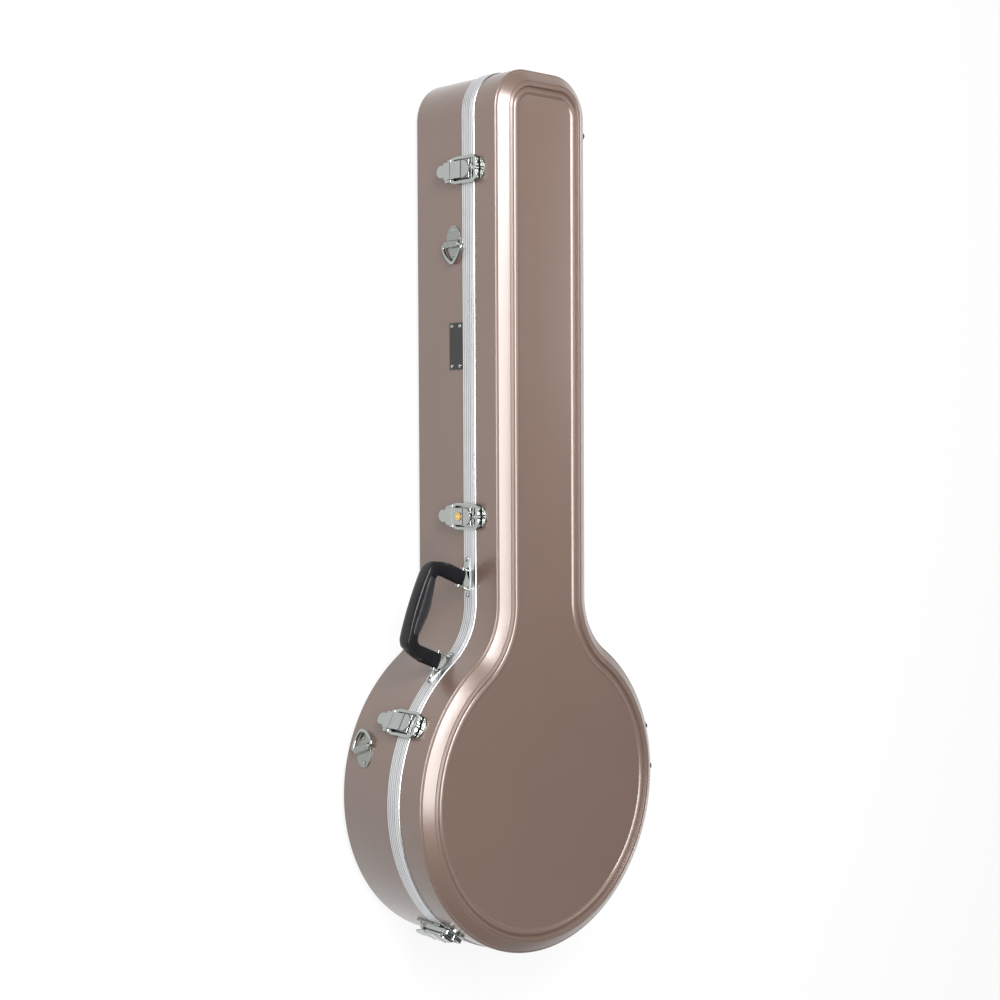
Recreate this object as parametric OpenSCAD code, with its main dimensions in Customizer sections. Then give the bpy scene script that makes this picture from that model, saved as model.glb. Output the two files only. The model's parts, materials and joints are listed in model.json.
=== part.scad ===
// Hard case for a banjo, lying on its back with the lid upwards.
// The origin is under the centre of the round body end, on the back face. The neck end points to +Y.
// The lid opens on three hinges at the +X side. The handle, latches and strap rings are at the -X side.

/* [Outline] */
// Radius of the round body end, at the shell wall
pot_r = 196; // [188:1:206]
// Width of the neck end
neck_w = 149; // [140:1:160]
// Length over the shell walls
case_l = 1060; // [1000:5:1100]
// Corner radius of the neck end
corner_r = 50; // [34:1:56]
// Radius of the inward curve where the neck end meets the round end
waist_r = 84; // [74:1:94]

/* [Depth] */
// Height of the base shell up to its aluminium edge
base_h = 95.4; // [88:0.2:104]
// Height of the aluminium edge on the base
base_band_h = 16.4; // [15:0.2:19]
// Height of the aluminium edge on the lid
lid_band_h = 4.8; // [4.4:0.1:6]
// Height of the plain lid wall above its aluminium edge
lid_wall_h = 34.6; // [30:0.2:40]
// Gap between the two aluminium edges when the lid is shut
part_gap = 0.3; // [0.2:0.05:0.5]

/* [Shells] */
// Wall of the plastic shells
shell_t = 3; // [2.4:0.1:3.4]
// Width of the sloped edge of both faces
slope_w = 15; // [12:0.5:17]
// Height of the sloped edge of both faces
slope_h = 11.5; // [9:0.5:13]
// Width of the flat rim inside the sloped edge
rim_w = 5.6; // [4:0.2:7]
// Width of the steep wall from the rim down to the panel
step_w = 1.5; // [1:0.1:2.5]
// Depth of the lid panel below the rim
panel_drop = 3.5; // [2.5:0.1:4.5]
// Width of the rounded bead round the lid panel
bead_w = 8.9; // [7:0.1:10]
// Height of the bead above the panel
bead_h = 2.6; // [1.6:0.1:3.2]
// Width and depth of the small lip at the foot of the sloped edge
lip = 1.6; // [1:0.1:2]
// Width of the groove round the back face
back_groove_w = 6; // [5:0.5:9]

/* [Aluminium edge] */
// How far the aluminium edge stands proud of the shell wall
band_t = 1.5; // [1.2:0.1:2]
// Width of the aluminium edge across the parting face
band_w = 8.4; // [8:0.1:10]
// Thickness of its cap over the rim of the shell
band_cap = 3.4; // [3:0.1:4]
// Thickness of its inner leg
band_leg = 1.2; // [1:0.1:1.6]
// Width and depth of the fine flutes
flute = 0.5; // [0.3:0.05:0.6]
// Width of the tongue on the lid edge
tongue_w = 1.4; // [1.2:0.1:1.6]
// Reach of the tongue into the groove of the base edge
tongue_h = 2; // [1.5:0.1:2.2]
// Side clearance of the tongue in its groove
tongue_gap = 0.5; // [0.4:0.05:0.6]

/* [Liners] */
// Radius of the well for the banjo body
well_r = 176; // [168:1:178]
// Foam under the banjo body
well_floor = 20; // [18:1:30]
// Depth of the recess over the banjo body in the lid liner
lid_recess = 20; // [12:1:26]
// Width of the neck channel
channel_w = 112; // [100:1:116]
// Height of the floor of the neck channel
channel_floor = 58; // [50:1:64]
// Clearance between foam and shell
foam_gap = 0.4; // [0.3:0.1:0.8]
// Start of the accessory pocket past the waist
pocket_up = 7.2; // [0:0.2:18]
// Length of the accessory pocket
pocket_l = 170; // [140:5:190]
// Distance from the neck end to the start of the well for the headstock
head_back = 188; // [174:2:214]
// Distance of the neck cradle from the neck end
cradle_back = 304; // [264:2:364]
// Thickness of the neck cradle
cradle_l = 46; // [36:2:56]
// Height of the neck cradle above the channel floor
cradle_h = 42; // [34:1:46]
// Radius of the hollow in the cradle
cradle_r = 27; // [22:1:30]

/* [Latches] */
// Distance of the end latch from the neck end
latch_end_back = 118; // [112:1:129]
// Distance of the lock latch past the waist
latch_lock_up = 103.2; // [94:0.2:119]
// Angle of the side latch past the waist, on the round end
latch_side_on = 27; // [22.5:0.5:28.5]
// Angle of the latch at the lower left of the round end
latch_left_a = 233; // [226:1:240]
// Angle of the latch at the lower right of the round end
latch_right_a = 292; // [286:1:298]
// Thickness of the latch base plate over the aluminium edge
plate_t = 1.2; // [1:0.1:1.4]
// Width of the latch base plate
plate_w = 24; // [23:0.5:25]
// Length of the latch base plate below the parting face
plate_l = 46; // [42:1:50]
// Width of its head at the parting face
head_w = 33; // [30:0.5:34]
// Length of its head
head_l = 13; // [10:0.5:15]
// Radius of the latch pins
pin_r = 1.5; // [1.3:0.1:1.6]
// Running clearance of a pin in its bore, on the radius
pin_gap = 0.05; // [0.03:0.01:0.08]
// Height of the lever pin above the shell wall
pivot_x = 7.5; // [7.4:0.1:7.8]
// Height of the lever pin above the parting face
pivot_up = 1.8; // [1.6:0.1:2]
// Distance from the lever pin to the bail pin
bail_back = 33; // [31:0.5:34]
// Half width inside the lever
ear_y = 8.3; // [8:0.1:8.5]
// Thickness of the ears
ear_t = 1.8; // [1.4:0.1:2]
// Thickness of the lever sheet
lever_t = 1.4; // [1.2:0.1:1.5]
// Half width of the lever
lever_y = 10.1; // [10:0.1:10.3]
// Length of the lever behind its pin
lever_back = 50.5; // [49:0.5:52]
// Half width of the thumb tab
tab_y = 7.3; // [6.5:0.1:8]
// Height of the two folds across the lever
fold_h = 0.8; // [0.4:0.1:1]
// Distance from the lever pin back to the first fold
fold_a = 9; // [8.6:0.1:9.6]
// Distance from the lever pin back to the second fold
fold_b = 28.5; // [27.5:0.5:29.5]
// Half width inside the bail
bail_in = 12.6; // [12.4:0.1:12.8]
// Half width outside the bail
bail_out = 16; // [15.6:0.1:16.4]
// Length of the bail bar along the pull
bar_w = 3.8; // [3.4:0.1:4]
// Thickness of the bail
bar_t = 4.8; // [4.6:0.1:5]
// Gap between the bail bar and the keeper lip
bar_gap = 0.4; // [0.35:0.05:0.5]
// How far the latch pins stand past the levers
pin_head = 0.5; // [0.3:0.05:0.6]
// Half width of the keeper
keeper_y = 15; // [14:0.5:15.5]
// Thickness of the keeper
keeper_t = 1.6; // [1.4:0.1:1.8]
// Height of the keeper lip above the shell wall
lip_top = 6.5; // [6:0.1:6.8]
// Distance from the lever pin up to the keeper lip
lip_up = 7.1; // [7:0.05:7.3]
// Thickness of the keeper lip
lip_w = 1.7; // [1.5:0.1:1.8]
// Distance from the bail bar to the keeper's rivets
keeper_rivet = 3.6; // [3.4:0.1:3.8]
// Radius of the lock cylinder
lock_r = 5; // [4.5:0.1:5.4]
// Distance from the lever pin back to the lock cylinder
lock_back = 15.5; // [15:0.5:18]

/* [Handle] */
// Distance of the upper handle bracket past the waist
handle_up = 30.4; // [26:0.2:33]
// Angle of the lower handle bracket past the waist, on the round end
handle_on = 3; // [1.5:0.5:4.5]
// Distance from the shell wall to the handle pins
handle_off = 12.4; // [12.3:0.1:13]
// Height of the handle pins
handle_z = 101.5; // [100:0.5:104]
// Radius of the handle pins
handle_pin_r = 2; // [1.8:0.1:2.4]
// Reach of the handle beyond its pins
handle_reach = 61; // [57:1:63]
// Thickness of the grip at its ends, seen square to the lid
grip_d = 21.5; // [20:0.5:23]
// Swell of the grip under the fingers
grip_swell = 4.5; // [3:0.5:5]
// Bow of the grip's outer side
grip_bow = 2.5; // [1.5:0.5:3]
// Radius of the grip's rounded outer side
grip_r = 11.5; // [10:0.5:12.5]
// Outer corner radius of the handle
grip_corner = 22; // [19:1:24]
// Width of the handle's arms along the pins
arm_w = 18.5; // [17:0.5:19]
// Radius of the handle's eyes
arm_r = 5.2; // [4.6:0.1:5.4]
// Length of a handle bracket
bracket_l = 50; // [50:1:54]
// Width of a handle bracket
bracket_w = 11; // [10:0.5:12]
// Radius of a handle bracket's ends
bracket_end = 3.6; // [3.2:0.1:4]
// Thickness of a handle bracket
bracket_t = 1.5; // [1.3:0.1:1.6]
// Thickness of the lugs on a handle bracket
lug_t = 1.8; // [1.5:0.1:2.2]
// Gap between the handle's end and a lug
lug_gap = 0.4; // [0.3:0.05:0.6]

/* [Strap rings] */
// Distance of the upper ring's bar from the neck end
ring_back = 205; // [184:1:224]
// Height of the upper ring
ring_z = 79; // [70:1:79]
// Angle of the lower ring past the waist, on the round end
ring_on = 37.5; // [35.5:0.5:41.5]
// Height of the lower ring
ring_low_z = 40; // [38:1:46]
// Turn of the lower ring on the wall
ring_turn = 22; // [0:1:30]
// Radius of the ring wire
wire_r = 2; // [1.7:0.1:2.2]
// Bend radius of the ring beside its bar
ring_bend = 3.2; // [3:0.1:3.6]
// Radius of the ring's long sides
ring_side = 36; // [32:1:38]
// Bend radius at the point of the ring
ring_tip = 5; // [4.5:0.5:6]
// Turn of the bend beside the bar
ring_out = 112; // [110:1:114]
// Turn at the end of the long side
ring_lean = 145; // [143:1:147]
// Thickness of the ring plate and its clip
ring_plate_t = 1.2; // [1:0.1:1.5]
// Reach of the ring plate above the bar
ring_plate_up = 23.9; // [22:0.1:25]
// Reach of the ring plate below the bar
ring_plate_down = 19.7; // [19:0.1:20.5]
// Half width of the ring plate at its middle
ring_plate_w = 12.8; // [12:0.1:13.2]
// Length of the raised clip behind the bar
clip_back = 6.2; // [5:0.1:7]

/* [Hinges] */
// Distance of the end hinge from the neck end
hinge_end_back = 66; // [66:1:84]
// Distance of the two round end hinges from the foot of the hinge line
hinge_spread = 27; // [22:1:30]
// Clearance from the aluminium edge to the hinge axis at the round end
hinge_off = 4.4; // [4.3:0.1:5.5]
// Clearance from the aluminium edge to the hinge axis at the neck end
hinge_end_off = 6.6; // [6.4:0.1:7.2]
// Width of a hinge
hinge_w = 24; // [20:1:26]
// Radius of a hinge knuckle
knuckle_r = 3; // [2.8:0.1:3.2]
// Gap between hinge knuckles
knuckle_gap = 0.3; // [0.2:0.05:0.4]
// Thickness of a hinge leaf
leaf_t = 1.4; // [1.2:0.1:1.6]
// Reach of a hinge leaf from the parting face
leaf_l = 38.5; // [32:0.5:38.5]

/* [Small parts] */
// Length of the plain plate
tag_l = 56; // [50:1:60]
// Width of the plain plate
tag_w = 22; // [18:1:24]
// Distance of the plain plate's middle from the neck end
tag_back = 326; // [304:1:344]
// Height of the plain plate, at its middle
tag_z = 82.5; // [78:0.5:82.5]
// Thickness of the plain plate
tag_t = 1.2; // [1:0.1:1.5]
// Radius of a rivet head
rivet_r = 2.4; // [2:0.1:2.6]
// Height of a rivet head
rivet_h = 1.2; // [0.9:0.1:1.4]
// Distance of a hinge leaf's outer rivet from its tip
tip_in = 5; // [4:0.5:6]
// Distance of its two inner rivets from its middle
leaf_side = 7; // [6:0.5:7.5]
// Distance of its two inner rivets from the parting face
leaf_low = 16; // [15:0.5:18]

/* [Hidden] */
$fn = 48;

z_band = base_h;
z_part = base_h + base_band_h;
z_lid = z_part + part_gap;
z_lid_band = z_part + lid_band_h;
z_slope = z_lid_band + lid_wall_h;
z_rim = z_slope + slope_h;
z_panel = z_rim - panel_drop;
half_w = neck_w / 2;
neck_end = case_l - pot_r;
corner_y = neck_end - corner_r;
waist_x = half_w + waist_r;
waist_y = sqrt(pow(pot_r + waist_r, 2) - pow(waist_x, 2));
waist_a = atan2(waist_y, waist_x);
round_a = 180 - waist_a;
rim_in = slope_w + rim_w;
panel_in = rim_in + step_w + bead_w;
fine = 360;
far = 400;
over = 1;

abs_brown = [0.45, 0.38, 0.34];
silver = [0.8, 0.8, 0.82];
chrome = [0.75, 0.76, 0.78];
black = [0.06, 0.06, 0.07];
plush = [0.12, 0.12, 0.13];
brass = [0.78, 0.62, 0.3];

// Places that keep to the waist or to the neck end
pocket_y = waist_y + pocket_up;
head_y = neck_end - head_back;
cradle_y = neck_end - cradle_back;
latch_end_y = neck_end - latch_end_back;
latch_lock_y = waist_y + latch_lock_up;
latch_side_a = round_a + latch_side_on;
handle_y = waist_y + handle_up;
handle_a = round_a + handle_on;
ring_y = neck_end - ring_back;
ring_a = round_a + ring_on;
hinge_end_y = neck_end - hinge_end_back;
tag_y = neck_end - tag_back;

// Seats on the outer wall: x, y and the direction that the wall faces
function neck_seat(y) = [-half_w, y, 180];
function pot_seat(a) = [pot_r * cos(a), pot_r * sin(a), a];
seat_end = neck_seat(latch_end_y);
seat_lock = neck_seat(latch_lock_y);
seat_side = pot_seat(latch_side_a);
seat_left = pot_seat(latch_left_a);
seat_right = pot_seat(latch_right_a);

// Points of an arc, for outlines that are cut from sheet
function arc_points(cx, cy, r, from, to, n) = [
  for (i = [0:n]) let (a = from + (to - from) * i / n) [cx + r * cos(a), cy + r * sin(a)]
];

// A profile of inset and height, carried round the outline in four lengths
module round_end() {
  rotate_extrude(angle = 180 + 2 * waist_a, start = 180 - waist_a, $fn = 96)
    translate([pot_r, 0]) mirror([1, 0]) children();
}

module waist_ends() {
  translate([waist_x, waist_y, 0])
    rotate_extrude(angle = waist_a, start = 180, $fn = 96) translate([waist_r, 0]) children();
  translate([-waist_x, waist_y, 0])
    rotate_extrude(angle = waist_a, start = -waist_a, $fn = 96) translate([waist_r, 0]) children();
}

module neck_sides() {
  translate([half_w, corner_y, 0])
    rotate([90, 0, 0]) linear_extrude(corner_y - waist_y) mirror([1, 0]) children();
  translate([-half_w, corner_y, 0])
    rotate([90, 0, 0]) linear_extrude(corner_y - waist_y) children();
}

module neck_top() {
  translate([half_w - corner_r, corner_y, 0])
    rotate_extrude(angle = 90, start = 0, $fn = 96) translate([corner_r, 0]) mirror([1, 0]) children();
  translate([corner_r - half_w, corner_y, 0])
    rotate_extrude(angle = 90, start = 90, $fn = 96) translate([corner_r, 0]) mirror([1, 0]) children();
  translate([corner_r - half_w, neck_end, 0])
    rotate([90, 0, 90]) linear_extrude(neck_w - 2 * corner_r) mirror([1, 0]) children();
}

module round_outline() {
  round_end() children();
  waist_ends() children();
  neck_top() children();
  neck_sides() children();
}

// The outline as a flat area, drawn in by an inset
module outline_area(inset) {
  polygon(concat(
    arc_points(half_w - corner_r, corner_y, corner_r - inset, 0, 90, 12),
    arc_points(corner_r - half_w, corner_y, corner_r - inset, 90, 180, 12),
    arc_points(-waist_x, waist_y, waist_r + inset, 0, -waist_a, 12),
    arc_points(0, 0, pot_r - inset, round_a, 540 - round_a, 96),
    arc_points(waist_x, waist_y, waist_r + inset, 180 + waist_a, 180, 12)
  ));
}

module outline_slab(inset, from, to) {
  translate([0, 0, from]) linear_extrude(to - from) outline_area(inset);
}

// Shells
slope_lip = [
  [0, -lip], [0.4 * lip, -0.3 * lip], [1.3 * lip, 0.35 * lip], [1.7 * lip, 0.45 * lip], [2 * lip, 1.1 * lip]
];

module lid_edge() {
  bead_foot = rim_in + step_w;
  bead = [
    for (a = [180:-30:0]) [bead_foot + bead_w / 2 + bead_w / 2 * cos(a), z_panel + bead_h * sin(a)]
  ];
  outer = concat(
    [[0, z_lid + band_cap]],
    [for (p = slope_lip) [p[0], z_slope + p[1]]],
    [[slope_w, z_rim], [rim_in, z_rim]],
    bead,
    [[panel_in + shell_t, z_panel]]
  );
  inner = [
    [panel_in + shell_t, z_panel - shell_t], [slope_w + shell_t / 2, z_panel - shell_t],
    [slope_w + shell_t / 4, z_rim - shell_t * 1.3], [shell_t, z_slope], [shell_t, z_lid + band_cap]
  ];
  polygon(concat(outer, inner));
}

module lid_shell() {
  color(abs_brown) {
    round_outline() lid_edge();
    outline_slab(panel_in + shell_t / 2, z_panel - shell_t, z_panel);
  }
}

module base_edge() {
  outer = concat(
    [[0, z_part - band_cap]],
    [for (p = slope_lip) [p[0], slope_h - p[1]]],
    [[slope_w, 0], [rim_in, 0], [rim_in + back_groove_w / 4, panel_drop * 0.6],
     [rim_in + back_groove_w * 3 / 4, panel_drop * 0.6], [rim_in + back_groove_w, 0],
     [panel_in + shell_t, 0]]
  );
  inner = [
    [panel_in + shell_t, shell_t], [rim_in + back_groove_w + shell_t, shell_t],
    [rim_in + back_groove_w * 3 / 4, panel_drop * 0.6 + shell_t],
    [slope_w + shell_t / 2, panel_drop * 0.6 + shell_t], [slope_w, shell_t * 1.3],
    [shell_t, slope_h], [shell_t, z_part - band_cap]
  ];
  polygon(concat(outer, inner));
}

module base_shell() {
  color(abs_brown) {
    round_outline() base_edge();
    outline_slab(panel_in + shell_t / 2, 0, shell_t);
  }
}

// Aluminium edges: the base edge has the groove, the lid edge has the tongue
tongue_in = shell_t + band_leg + tongue_gap + 0.4;
function flute_points(z) = [[-band_t, z + flute], [flute - band_t, z], [-band_t, z - flute]];

module base_valance_area() {
  z_edge = z_part - band_cap;
  leg_foot = z_band + 4;
  polygon(concat(
    [[-band_t, z_band], [0, z_band], [0, z_edge], [shell_t, z_edge], [shell_t, leg_foot],
     [shell_t + band_leg, leg_foot], [shell_t + band_leg, z_edge], [band_w, z_edge], [band_w, z_part],
     [tongue_in + tongue_w + tongue_gap, z_part],
     [tongue_in + tongue_w + tongue_gap, z_part - tongue_h - tongue_gap + part_gap],
     [tongue_in - tongue_gap, z_part - tongue_h - tongue_gap + part_gap],
     [tongue_in - tongue_gap, z_part], [-band_t, z_part]],
    flute_points(z_part - base_band_h * 0.28),
    flute_points(z_part - base_band_h * 0.55),
    flute_points(z_part - base_band_h * 0.8)
  ));
}

module lid_valance_area() {
  z_edge = z_lid + band_cap;
  leg_top = z_lid_band + 6;
  polygon([
    [-band_t, z_lid], [tongue_in, z_lid], [tongue_in, z_lid - tongue_h],
    [tongue_in + tongue_w, z_lid - tongue_h], [tongue_in + tongue_w, z_lid], [band_w, z_lid],
    [band_w, z_edge], [shell_t + band_leg, z_edge], [shell_t + band_leg, leg_top], [shell_t, leg_top],
    [shell_t, z_edge], [0, z_edge], [0, z_lid_band], [-band_t / 2, z_lid_band],
    [-band_t, z_lid_band - band_t / 2]
  ]);
}

// Each edge is bent from lengths that meet end to end
module base_valance_end() { color(silver) neck_top() base_valance_area(); }
module base_valance_sides() { color(silver) neck_sides() base_valance_area(); }
module base_valance_waist() { color(silver) waist_ends() base_valance_area(); }
module base_valance_round() { color(silver) round_end() base_valance_area(); }
module lid_valance_end() { color(silver) neck_top() lid_valance_area(); }
module lid_valance_sides() { color(silver) neck_sides() lid_valance_area(); }
module lid_valance_waist() { color(silver) waist_ends() lid_valance_area(); }
module lid_valance_round() { color(silver) round_end() lid_valance_area(); }

// Liners
foam_in = shell_t + foam_gap;
foam_low = slope_w + shell_t;
foam_top = z_part - foam_gap;
foam_lid = z_lid + foam_gap;
foam_step = base_h + 4 - foam_gap;

// A channel with rounded corners, as a flat area
module slot_area(w, y0, y1, r) {
  polygon(concat(
    arc_points(w / 2 - r, y1 - r, r, 0, 90, 6), arc_points(r - w / 2, y1 - r, r, 90, 180, 6),
    arc_points(r - w / 2, y0 + r, r, 180, 270, 6), arc_points(w / 2 - r, y0 + r, r, 270, 360, 6)
  ));
}

module channel_cut(y0, y1, from, to) {
  translate([0, 0, from]) linear_extrude(to - from) slot_area(channel_w, y0, y1, 20);
}

channel_end = neck_end - (half_w - channel_w / 2);

module base_liner() {
  floor_z = panel_drop * 0.6 + shell_t + foam_gap;
  color(plush) difference() {
    union() {
      outline_slab(foam_low, floor_z, slope_h + over);
      outline_slab(foam_in, slope_h + foam_gap, foam_step);
      outline_slab(band_w + foam_gap, foam_step - over, foam_top);
    }
    translate([0, 0, well_floor]) cylinder(r = well_r, h = far, $fn = 128);
    channel_cut(0, channel_end, channel_floor, far);
    channel_cut(pocket_y, pocket_y + pocket_l, well_floor, far);
    channel_cut(head_y, channel_end, well_floor, far);
  }
}

module lid_liner() {
  top_z = z_panel - shell_t - foam_gap;
  ledge = z_lid_band + 6 + foam_gap;
  recess_z = foam_lid + lid_recess;
  color(plush) difference() {
    union() {
      outline_slab(band_w + foam_gap, foam_lid, ledge + over);
      outline_slab(foam_in, ledge, z_slope - foam_gap);
      outline_slab(foam_low, z_slope - over, top_z);
    }
    translate([0, 0, foam_lid - over]) cylinder(r = well_r, h = lid_recess + over, $fn = 128);
    channel_cut(0, channel_end, foam_lid - over, recess_z);
  }
}

module neck_cradle() {
  side = channel_w - 2 * foam_gap;
  color(plush) difference() {
    translate([-side / 2, cradle_y, channel_floor]) cube([side, cradle_l, cradle_h]);
    translate([0, cradle_y - over, channel_floor + cradle_h])
      rotate([-90, 0, 0]) cylinder(r = cradle_r, h = cradle_l + 2 * over);
  }
}

// What a fitting on the wall must leave free: the wall itself and the proud aluminium edge.
// In the seat's own frame X points out of the wall and Y runs along it.
module on_seat(seat) {
  translate([seat[0], seat[1], 0]) rotate([0, 0, seat[2]]) children();
}

module wall_body(is_round) {
  if (is_round) {
    translate([-pot_r, 0, -over]) cylinder(r = pot_r, h = far, $fn = fine);
    translate([-pot_r, 0, z_band]) cylinder(r = pot_r + band_t, h = z_lid_band - z_band, $fn = fine);
  } else {
    translate([-far, -far / 2, -over]) cube([far, far, far]);
    translate([-far, -far / 2, z_band]) cube([far + band_t, far, z_lid_band - z_band]);
  }
}

module across(y0, y1) {
  translate([0, y1, 0]) rotate([90, 0, 0]) linear_extrude(y1 - y0) children();
}

module pin_across(x, z, r, half) {
  translate([x, -half, z]) rotate([-90, 0, 0]) cylinder(r = r, h = 2 * half);
}

// Latches, in the seat's frame
pivot_z = z_part + pivot_up;
bail_z = pivot_z - bail_back;
bail_x = pivot_x - 0.5;
plate_x = band_t + plate_t;
ear_r = pin_r + 1.3;
eye_r = pin_r + 1.7;
lever_in = pivot_x + 3.5;
lip_z = pivot_z + lip_up;
bar_z = lip_z + lip_w + bar_gap;
bar_x = plate_x + 0.5;

module latch_plate(is_round) {
  plate_top = z_part - 0.6;
  color(chrome) difference() {
    union() {
      translate([-plate_t, -plate_w / 2, z_part - plate_l])
        cube([plate_x + plate_t, plate_w, plate_top - z_part + plate_l]);
      translate([-plate_t, 0, 0]) rotate([90, 0, 90]) linear_extrude(plate_x + plate_t) polygon([
        [-head_w / 2, plate_top], [-head_w / 2, plate_top - head_l + 3],
        [3 - head_w / 2, plate_top - head_l], [head_w / 2 - 3, plate_top - head_l],
        [head_w / 2, plate_top - head_l + 3], [head_w / 2, plate_top]
      ]);
      for (s = [-1, 1]) {
        across(s > 0 ? ear_y - ear_t : -ear_y, s > 0 ? ear_y : ear_t - ear_y) polygon([
          [plate_x - over, pivot_z - 15], [plate_x - over, plate_top], [plate_x, plate_top],
          [pivot_x - 1, pivot_z + 2.2], [pivot_x + 1.6, pivot_z + 1.6], [pivot_x + 1.6, pivot_z - 1.6],
          [pivot_x - 1, pivot_z - 8]
        ]);
        translate([pivot_x, s > 0 ? ear_y - ear_t : -ear_y, pivot_z])
          rotate([-90, 0, 0]) cylinder(r = ear_r, h = ear_t);
      }
    }
    wall_body(is_round);
    pin_across(pivot_x, pivot_z, pin_r, lever_y + over);
  }
}

module latch_pin() {
  pin_across(pivot_x, pivot_z, pin_r, lever_y + pin_head);
}

// The lever is a folded sheet: a thumb tab, a square flat and a rounded nose over the pin
module lever_side() {
  top = [
    [lever_in + 1, -lever_back], [lever_in - 0.7, -fold_b - 2], [lever_in + fold_h, -fold_b - 0.8],
    [lever_in + fold_h, -fold_b + 0.6], [lever_in + 0.2, -fold_b + 1.8], [lever_in + 0.2, -fold_a - 1.8],
    [lever_in + fold_h, -fold_a - 0.7], [lever_in + fold_h, -fold_a + 0.7], [lever_in, -fold_a + 1.8],
    [lever_in - 0.4, 0.5], [pivot_x + 2.6, 4.6]
  ];
  polygon(concat(
    [for (p = top) [p[0] + lever_t, pivot_z + p[1]]],
    [for (i = [len(top) - 1:-1:0]) [top[i][0], pivot_z + top[i][1]]]
  ));
}

module lever_plan() {
  nose_z = pivot_z + 4.4 - lever_y;
  tab_z = pivot_z - lever_back + tab_y;
  translate([0, tab_z]) circle(r = tab_y);
  translate([-tab_y, tab_z]) square([2 * tab_y, 20]);
  translate([-lever_y, pivot_z - bail_back - 6]) square([2 * lever_y, nose_z - pivot_z + bail_back + 6]);
  translate([0, nose_z]) circle(r = lever_y);
}

module lever(with_lock) {
  flange_t = lever_y - ear_y - 0.6;
  cheek = [
    [bail_x - 1, bail_z + 3.2], [pivot_x - 1, pivot_z - 3], [lever_in + 0.5, pivot_z - 3],
    [lever_in + 0.5, bail_z - 3], [bail_x + 1, bail_z - 3]
  ];
  color(chrome) difference() {
    union() {
      difference() {
        intersection() {
          across(-lever_y, lever_y) lever_side();
          rotate([90, 0, 90]) linear_extrude(far) lever_plan();
        }
        if (with_lock) lock_bore(lock_r + pin_gap);
      }
      for (y0 = [-lever_y, lever_y - flange_t]) {
        across(y0, y0 + flange_t) polygon(cheek);
        translate([pivot_x, y0, pivot_z]) rotate([-90, 0, 0]) cylinder(r = eye_r, h = flange_t);
        translate([bail_x, y0, bail_z]) rotate([-90, 0, 0]) cylinder(r = eye_r, h = flange_t);
      }
      pin_across(bail_x, bail_z, pin_r, bail_in + 0.9);
    }
    pin_across(pivot_x, pivot_z, pin_r + pin_gap, lever_y + over);
  }
}

module lock_bore(r) {
  translate([0, 0, pivot_z - lock_back]) rotate([0, 90, 0]) cylinder(r = r, h = far);
}

// The bail is a flat frame with two eyes at its back and a bar that hooks behind the keeper lip
module bail() {
  eye_in = lever_y + 0.4;
  shoulder = pivot_z - 24;
  end_z = bar_z + bar_w;
  corner = 6;
  outline = concat(
    [[eye_in, bail_z - 1], [bail_in + 0.6, bail_z - 1], [bail_out, shoulder]],
    arc_points(bail_out - corner, end_z - corner, corner, 0, 90, 6),
    arc_points(corner - bail_out, end_z - corner, corner, 90, 180, 6),
    [[-bail_out, shoulder], [-bail_in - 0.6, bail_z - 1], [-eye_in, bail_z - 1]],
    [[-eye_in, bail_z + 5], [-bail_in, shoulder]],
    arc_points(3 - bail_in, bar_z - 3, 3, 180, 90, 4),
    arc_points(bail_in - 3, bar_z - 3, 3, 90, 0, 4),
    [[bail_in, shoulder], [eye_in, bail_z + 5]]
  );
  color(chrome) difference() {
    union() {
      translate([bar_x, 0, 0]) rotate([90, 0, 90]) linear_extrude(bar_t) polygon(outline);
      for (y0 = [-bail_in - 0.6, eye_in])
        translate([bail_x, y0, bail_z]) rotate([-90, 0, 0]) cylinder(r = eye_r, h = bail_in + 0.6 - eye_in);
      translate([bar_x, 0, bar_z + bar_w / 2]) rotate([0, 90, 0]) cylinder(r = 3, h = bar_t + 1.4);
    }
    pin_across(bail_x, bail_z, pin_r + pin_gap, far);
    across(-8.6, 8.6) square([bar_x + bar_t, bar_z]);
  }
}

module keeper(is_round) {
  foot = z_lid_band + 0.4;
  arc_z = foot + 2.6;
  color(chrome) difference() {
    union() {
      translate([-keeper_t, 0, 0]) rotate([90, 0, 90]) linear_extrude(2 * keeper_t) {
        translate([-keeper_y, foot]) square([2 * keeper_y, arc_z - foot]);
        intersection() {
          translate([0, arc_z]) circle(r = keeper_y);
          translate([-keeper_y, arc_z - 0.01]) square([2 * keeper_y, keeper_y + over]);
        }
      }
      translate([0, -8, lip_z]) cube([lip_top, 16, lip_w]);
    }
    wall_body(is_round);
  }
}

module lock_cylinder() {
  face = lever_in + 0.3 + lever_t + 1;
  color(brass) on_seat(seat_lock) difference() {
    translate([pivot_x + 0.5, 0, pivot_z - lock_back])
      rotate([0, 90, 0]) cylinder(r = lock_r, h = face - pivot_x - 0.5);
    translate([face - 2, -0.7, pivot_z - lock_back - 3]) cube([far, 1.4, 6]);
  }
}

module latch_plate_end() { on_seat(seat_end) latch_plate(false); }
module latch_plate_lock() { on_seat(seat_lock) latch_plate(false); }
module latch_plate_side() { on_seat(seat_side) latch_plate(true); }
module latch_plate_left() { on_seat(seat_left) latch_plate(true); }
module latch_plate_right() { on_seat(seat_right) latch_plate(true); }
module latch_pins() {
  color(chrome) for (seat = [seat_end, seat_lock, seat_side, seat_left, seat_right])
    on_seat(seat) latch_pin();
}
module keeper_end() { on_seat(seat_end) keeper(false); }
module keeper_lock() { on_seat(seat_lock) keeper(false); }
module keeper_side() { on_seat(seat_side) keeper(true); }
module keeper_left() { on_seat(seat_left) keeper(true); }
module keeper_right() { on_seat(seat_right) keeper(true); }
module lever_end() { on_seat(seat_end) lever(false); }
module lever_lock() { on_seat(seat_lock) lever(true); }
module lever_side_latch() { on_seat(seat_side) lever(false); }
module lever_left() { on_seat(seat_left) lever(false); }
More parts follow.
